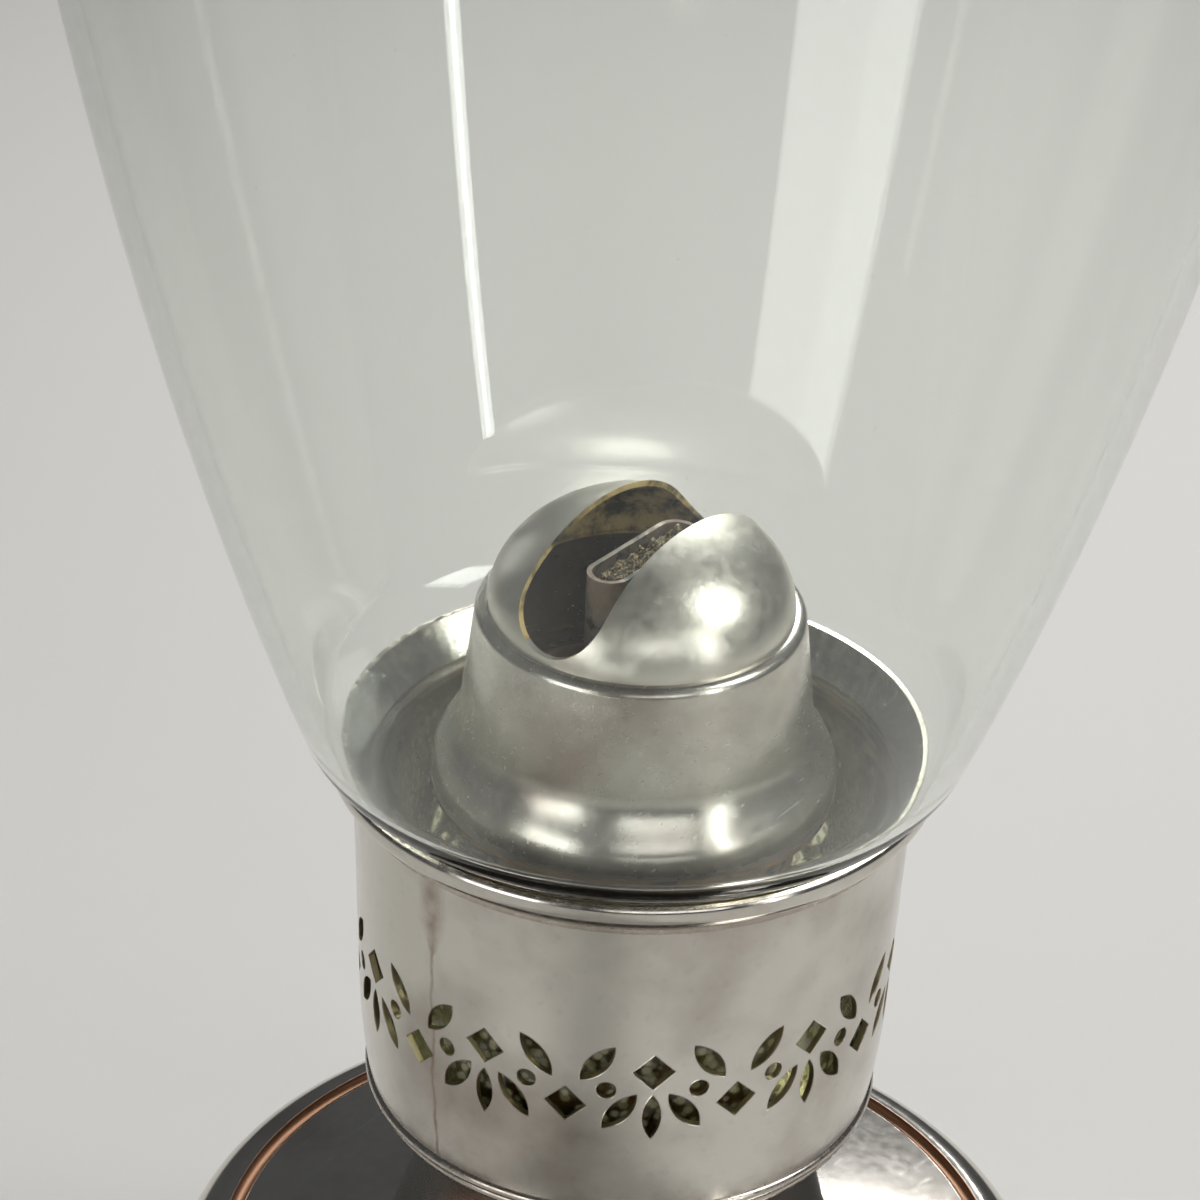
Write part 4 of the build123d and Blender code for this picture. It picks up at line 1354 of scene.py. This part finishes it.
@dataclass
class BurnerCap:
    """The lift-off cap: a flared skirt and a slotted dome."""

    wall: float = 0.7
    flare: float = 3.3
    foot_edge: float = 0.8
    flare_height: float = 9.5
    ogee_handle: float = 3.8
    taper: float = 1.4
    shoulder_round: float = 1.3
    ledge: float = 1.0
    slot_width: float = 11.6
    slot_sill: float = 0.9
    slot_height: float = 20.0
    slot_beyond: float = 2.0
    slot_steps: int = 24
    dome_height: float = 12.8

    def build(self, workshop: Workshop, skirt: Material, dome: Material, soot: Material) -> None:
        """Builds the cap's two pieces and puts them in place.

        Args:
            workshop: cuts and places the pieces.
            skirt: finish of the skirt.
            dome: finish of the dome's outside.
            soot: finish of the dome's inside.
        """
        workshop.place(turned("cap_skirt_flared", self._skirt()), "cap_skirt", skirt)
        workshop.place(self._dome(workshop, dome, soot), "cap_dome", dome)

    def _skirt(self) -> Outline:
        """Draws the skirt: ogee foot, taper, round shoulder and ledge.

        Returns:
            The closed outline.
        """
        bottom, top = low("cap_skirt"), high("cap_skirt")
        waist, crown = top.x - self.flare, top.x - self.flare - self.taper
        edge_level, flare_level = bottom.z + self.foot_edge, bottom.z + self.flare_height
        round_level = top.z - self.shoulder_round
        bore = high("cap_dome").x - self.wall - self.ledge
        lean = self.taper / (round_level - flare_level)
        outline = Outline()
        for inset, direction in ((0.0, 1), (self.wall, -1)):
            foot, corner = top.x - inset, self.shoulder_round - inset
            side = Outline().to(foot, bottom.z, wear=0.5).to(foot, edge_level, wear=0.4)
            side.curve(
                (foot, edge_level + self.ogee_handle),
                (waist + lean * self.ogee_handle - inset, flare_level - self.ogee_handle),
                (waist - inset, flare_level),
                steps=20,
            )
            side.line(crown - inset, round_level, steps=8)
            side.arc((crown - self.shoulder_round, round_level), (corner, corner), 6, 90, steps=8)
            outline.join(side.to(bore, top.z - inset), direction)
        return outline

    def _dome(self, workshop: Workshop, dome: Material, soot: Material) -> Object:
        """Turns the dome, cuts its slot and blackens its inside.

        Args:
            workshop: cuts it.
            dome: finish of its outside.
            soot: finish of its inside.

        Returns:
            The dome.
        """
        bottom, radius = low("cap_dome").z, high("cap_dome").x
        inner = (radius - self.wall, self.dome_height - self.wall)
        outline = Outline().arc((0.0, bottom), (radius, self.dome_height), 90, 0, steps=40)
        outline.arc((0.0, bottom), inner, 0, 90, steps=32)
        outline.points[0] = (0.0, bottom + self.dome_height)
        outline.points[-1] = (0.0, bottom + inner[1])
        piece = turned("cap_dome_slotted", outline)
        half = self.slot_width / 2
        centre = bottom + self.slot_sill + half
        slot = [(half, centre + self.slot_height), (-half, centre + self.slot_height)]
        for step in range(self.slot_steps + 1):
            angle = math.pi + math.pi * step / self.slot_steps
            slot.append((half * math.cos(angle), centre + half * math.sin(angle)))
        reach = radius + self.slot_beyond
        workshop.cut(piece, prisms("flame_slot", [slot], -reach, reach), 1, 0.0, dome)
        foot = Vector((0, 0, bottom)) * MM
        workshop.refinish(piece, soot, lambda face: face.normal.dot(face.center - foot) < 0)
        return piece


@dataclass
class Burner:
    """The brass inside: drum, seat, wick tube, plug, and the wick itself."""

    wick_width: float = 15.6
    wick_thickness: float = 3.2
    yarn: float = 1.1
    rows_per_yarn: int = 3
    points_per_yarn: int = 4
    points_around: int = 96
    relief: float = 0.16
    crust: float = 1.3
    edge_seed: float = 7.0
    edge_scale: float = 0.6
    lump_scale: float = 0.8
    lump_lift: float = 0.35
    crown_rings: Triple = (0.75, 0.5, 0.25)
    crown_reach: float = 0.96

    def build(self, workshop: Workshop, brass: Material, nickel: Material, cotton: Material) -> None:
        """Dresses the brass and builds the wick.

        Args:
            workshop: places the pieces.
            brass: finish of the brass away from the flame.
            nickel: finish of the wick's tube.
            cotton: finish of the wick.
        """
        workshop.dress(brass, "draught_drum", "cap_seat_ring", "burner_collar")
        workshop.dress(nickel, "wick_tube")
        workshop.place(self._wick(), "wick", cotton)

    def _wick(self) -> Object:
        """Weaves the wick: a flat ribbon with raised yarns and a ragged crust on top.

        Returns:
            The wick.
        """
        bottom, top = low("wick").z, high("wick").z
        rows = round((top - bottom) / (self.yarn / self.rows_per_yarn))
        around = self._section()
        shape = bmesh.new()
        rings = []
        for row in range(rows + 1):
            height = bottom + (top - bottom) * row / rows
            ring = []
            for index, (x, y, nx, ny) in enumerate(around):
                along = math.cos(2 * math.pi * index / self.points_per_yarn)
                lift = self.relief * (along * math.cos(math.pi * height / self.yarn) - 1) / 2
                ragged = 0.0
                if row == rows:
                    ragged = self.crust * noise.noise(Vector((x, y, self.edge_seed)) * self.edge_scale)
                place = Vector((x + nx * lift, y + ny * lift, height - abs(ragged)))
                ring.append(shape.verts.new(place * MM))
            rings.append(ring)
        for share in self.crown_rings:
            inset = (1 - share) * self.wick_thickness / 2 * self.crown_reach
            ring = []
            for x, y, nx, ny in around:
                place = Vector((x - nx * inset, y - ny * inset, 0.0))
                lump = (noise.noise(place * self.lump_scale) + self.lump_lift) * self.crust
                ring.append(shape.verts.new(Vector((place.x, place.y, top + lump)) * MM))
            rings.append(ring)
        for lower, upper in zip(rings, rings[1:]):
            for index in range(len(around)):
                after = (index + 1) % len(around)
                shape.faces.new([lower[index], lower[after], upper[after], upper[index]])
        shape.faces.new(rings[-1])
        shape.faces.new(rings[0][::-1])
        piece = piece_of("wick_ribbon", shape)
        piece.data.shade_smooth()
        return piece

    def _section(self) -> list[tuple[float, ...]]:
        """Sets out even points round the ribbon's section.

        Returns:
            For each point, its place along and across the ribbon, and its outward direction.
        """
        half_thickness = self.wick_thickness / 2
        straight = 2 * (self.wick_width / 2 - half_thickness)
        bend = math.pi * half_thickness
        found = []
        for step in range(self.points_around):
            along = 2 * (straight + bend) * step / self.points_around
            side = 1
            if along >= straight + bend:
                along -= straight + bend
                side = -1
            if along < straight:
                spot = (straight / 2 - along, half_thickness, 0.0, 1.0)
            else:
                angle = math.pi / 2 + (along - straight) / half_thickness
                across, up = math.cos(angle), math.sin(angle)
                spot = (-straight / 2 + half_thickness * across, half_thickness * up, across, up)
            found.append(tuple(side * value for value in spot))
        return found


@dataclass
class Winder:
    """The spindle, its bearings and the knob, which keep their CAD shapes."""

    plate_nodes: tuple[str, ...] = ("winder_knob",)
    brass_nodes: tuple[str, ...] = (
        "winder_bracket",
        "bracket_rivets",
        "spindle_bush",
        "spur_wheels",
        "spindle_collar",
    )
    steel_nodes: tuple[str, ...] = ("winder_spindle", "knob_screw")

    def build(self, workshop: Workshop, plate: Material, brass: Material, steel: Material) -> None:
        """Dresses the winder's nodes.

        Args:
            workshop: dresses them.
            plate: finish of the knob.
            brass: finish of the bearings and the wheels.
            steel: finish of the spindle and the screw.
        """
        workshop.dress(steel, *self.steel_nodes)
        workshop.dress(brass, *self.brass_nodes)
        workshop.dress(plate, *self.plate_nodes)


@dataclass
class Studio:
    """Pale floor, soft boxes and a camera that looks down on the burner from the left of the wick."""

    wick_turn: float = 53.0
    eye: Triple = (-4.8, -446.4, 406.5)
    elevation: float = 30.45
    roll: float = 2.487
    lens: float = 135.0
    sensor: float = 36.0
    floor_reach: float = 6000.0
    aim_height: float = 120.0
    sky_colour: str = "c9ccd0"
    sky_strength: float = 0.13

    def build(self) -> None:
        """Sets up the floor, the light and the camera."""
        scene = bpy.context.scene
        scene.view_settings.view_transform = "Standard"
        self._floor()
        self._sky(scene)
        self._lamp("back_softbox", 169.0, 31.0, 1.1, (0.32, 0.18), 2.6, 90.0)
        self._lamp("front_softbox", 14.0, 22.0, 1.0, (0.7, 0.32), 1.2)
        self._lamp("right_softbox", 78.0, 42.0, 0.9, (0.3, 0.38), 2.6)
        self._lamp("left_panel", -44.0, 10.0, 0.9, (0.45, 0.42), 1.6)
        self._lamp("right_strip", 50.0, 15.0, 0.9, (0.04, 0.6), 1.0)
        self._camera(scene)

    def _turn(self) -> Matrix:
        """Turns directions as the camera sees them (right, away, up) into the lamp's frame."""
        return Matrix.Rotation(math.radians(-self.wick_turn), 3, "Z")

    def _floor(self) -> None:
        """Lays the pale floor that the lamp stands on."""
        mesh = bpy.data.meshes.new("floor")
        reach = self.floor_reach * MM
        corners = [(-reach, -reach, 0), (reach, -reach, 0), (reach, reach, 0), (-reach, reach, 0)]
        mesh.from_pydata(corners, [], [(0, 1, 2, 3)])
        floor = bpy.data.objects.new("floor", mesh)
        bpy.context.scene.collection.objects.link(floor)
        mesh.materials.append(MattPaint("studio_floor").build())

    def _sky(self, scene: Scene) -> None:
        """Fills the room with a dim even light.

        Args:
            scene: the scene to light.
        """
        world = bpy.data.worlds.new("studio_room")
        world.use_nodes = True
        tree = world.node_tree
        tree.nodes.clear()
        light = {"Color": hex_linear(self.sky_colour), "Strength": self.sky_strength}
        add_node(tree, "ShaderNodeOutputWorld", {"Surface": add_node(tree, "ShaderNodeBackground", light)})
        scene.world = world

    def _lamp(
        self,
        name: str,
        azimuth: float,
        elevation: float,
        distance: float,
        size: Point,
        power: float,
        spread: float = 180.0,
    ) -> None:
        """Hangs a soft box that faces the burner.

        Args:
            name: its name.
            azimuth: angle to the right of the camera's side of the lamp, in degrees.
            elevation: angle above the burner, in degrees.
            distance: metres from the burner.
            size: width and height in metres.
            power: watts.
            spread: angle that its light fans out over, less than half a turn behind a grid.
        """
        data = bpy.data.lights.new(name, "AREA")
        data.shape = "RECTANGLE"
        data.size, data.size_y = size
        data.energy = power
        data.spread = math.radians(spread)
        lamp = bpy.data.objects.new(name, data)
        around, above = math.radians(azimuth), math.radians(elevation)
        flat = math.cos(above)
        away = self._turn() @ Vector((math.sin(around) * flat, -math.cos(around) * flat, math.sin(above)))
        lamp.location = Vector((0, 0, self.aim_height * MM)) + away * distance
        lamp.rotation_euler = away.to_track_quat("Z", "Y").to_euler()
        lamp.visible_camera = False
        bpy.context.scene.collection.objects.link(lamp)

    def _camera(self, scene: Scene) -> None:
        """Sets the camera where the photograph was taken from.

        Args:
            scene: the scene to look at.
        """
        data = bpy.data.cameras.new("photo_camera")
        data.sensor_width = self.sensor
        data.lens = self.lens
        camera = bpy.data.objects.new("photo_camera", data)
        tilt, roll = math.radians(self.elevation), math.radians(self.roll)
        level = Matrix.Rotation(math.pi / 2 - tilt, 3, "X")
        facing = self._turn() @ level @ Matrix.Rotation(roll, 3, "Z")
        camera.matrix_world = Matrix.Translation(self._turn() @ Vector(self.eye) * MM) @ facing.to_4x4()
        scene.collection.objects.link(camera)
        scene.camera = camera


def main() -> None:
    """Builds and dresses the lamp, piece by piece, in its studio."""
    logging.basicConfig(level=logging.INFO, format="%(name)s: %(message)s")
    workshop = Workshop()
    plate = SilverPlate("worn_silver_plate").build()
    polished = SilverPlate(
        "polished_silver_plate",
        roughness=0.12,
        haze=0.03,
        scratch_share=0.2,
        dent_depth_mm=0.05,
        pit_share=0.02,
    ).build()
    pierced = SilverPlate(
        "pierced_silver_plate",
        tarnish="8c8076",
        tarnish_share=0.8,
        blotch_mm=22.0,
        rounding_mm=0.3,
        seam_angle=174.0,
        seam_top_mm=high("gallery_band").z,
    ).build()
    satin = SilverPlate(
        "satin_silver_plate",
        tarnish="93847a",
        roughness=0.21,
        haze=0.06,
        tarnish_share=0.8,
        blotch_mm=18.0,
    ).build()
    hammered = SilverPlate(
        "hammered_silver_plate",
        roughness=0.285,
        haze=0.1,
        scratch_share=0.1,
        dent_mm=0.7,
        dent_depth_mm=0.06,
        pit_mm=1.2,
        pit_share=0.05,
    ).build()
    edge = SilverPlate(
        "pierced_edge", silver="b5a88e", tarnish="6b5a3c", roughness=0.3, rounding_mm=0.3
    ).build()
    brass = SootedBrass("tarnished_brass", soot_share=0.36).build()
    soot = SootedBrass(
        "sooted_brass",
        brass="a08c5c",
        burnt="b19a66",
        soot="0f0c0a",
        soot_share=0.36,
        patch_mm=4.5,
        crust_mm=0.3,
    ).build()
    nickel = SootedBrass("heat_stained_nickel", brass="938a84", burnt="6a5a50", soot_share=0.36).build()
    steel = TurnedSteel("turned_steel").build()
    cotton = CharredCotton("charred_cotton", char_level_mm=high("wick").z).build()
    Font().build(workshop, polished, brass)
    Neck().build(workshop, polished)
    Gallery().build(workshop, plate, pierced, edge, brass)
    Shade().build(workshop)
    BurnerCap().build(workshop, satin, hammered, soot)
    Burner().build(workshop, brass, nickel, cotton)
    Winder().build(workshop, plate, brass, steel)
    workshop.dress(OiledLeather("oiled_leather").build(), "seal_ring")
    Studio().build()


if __name__ == "__main__":
    main()
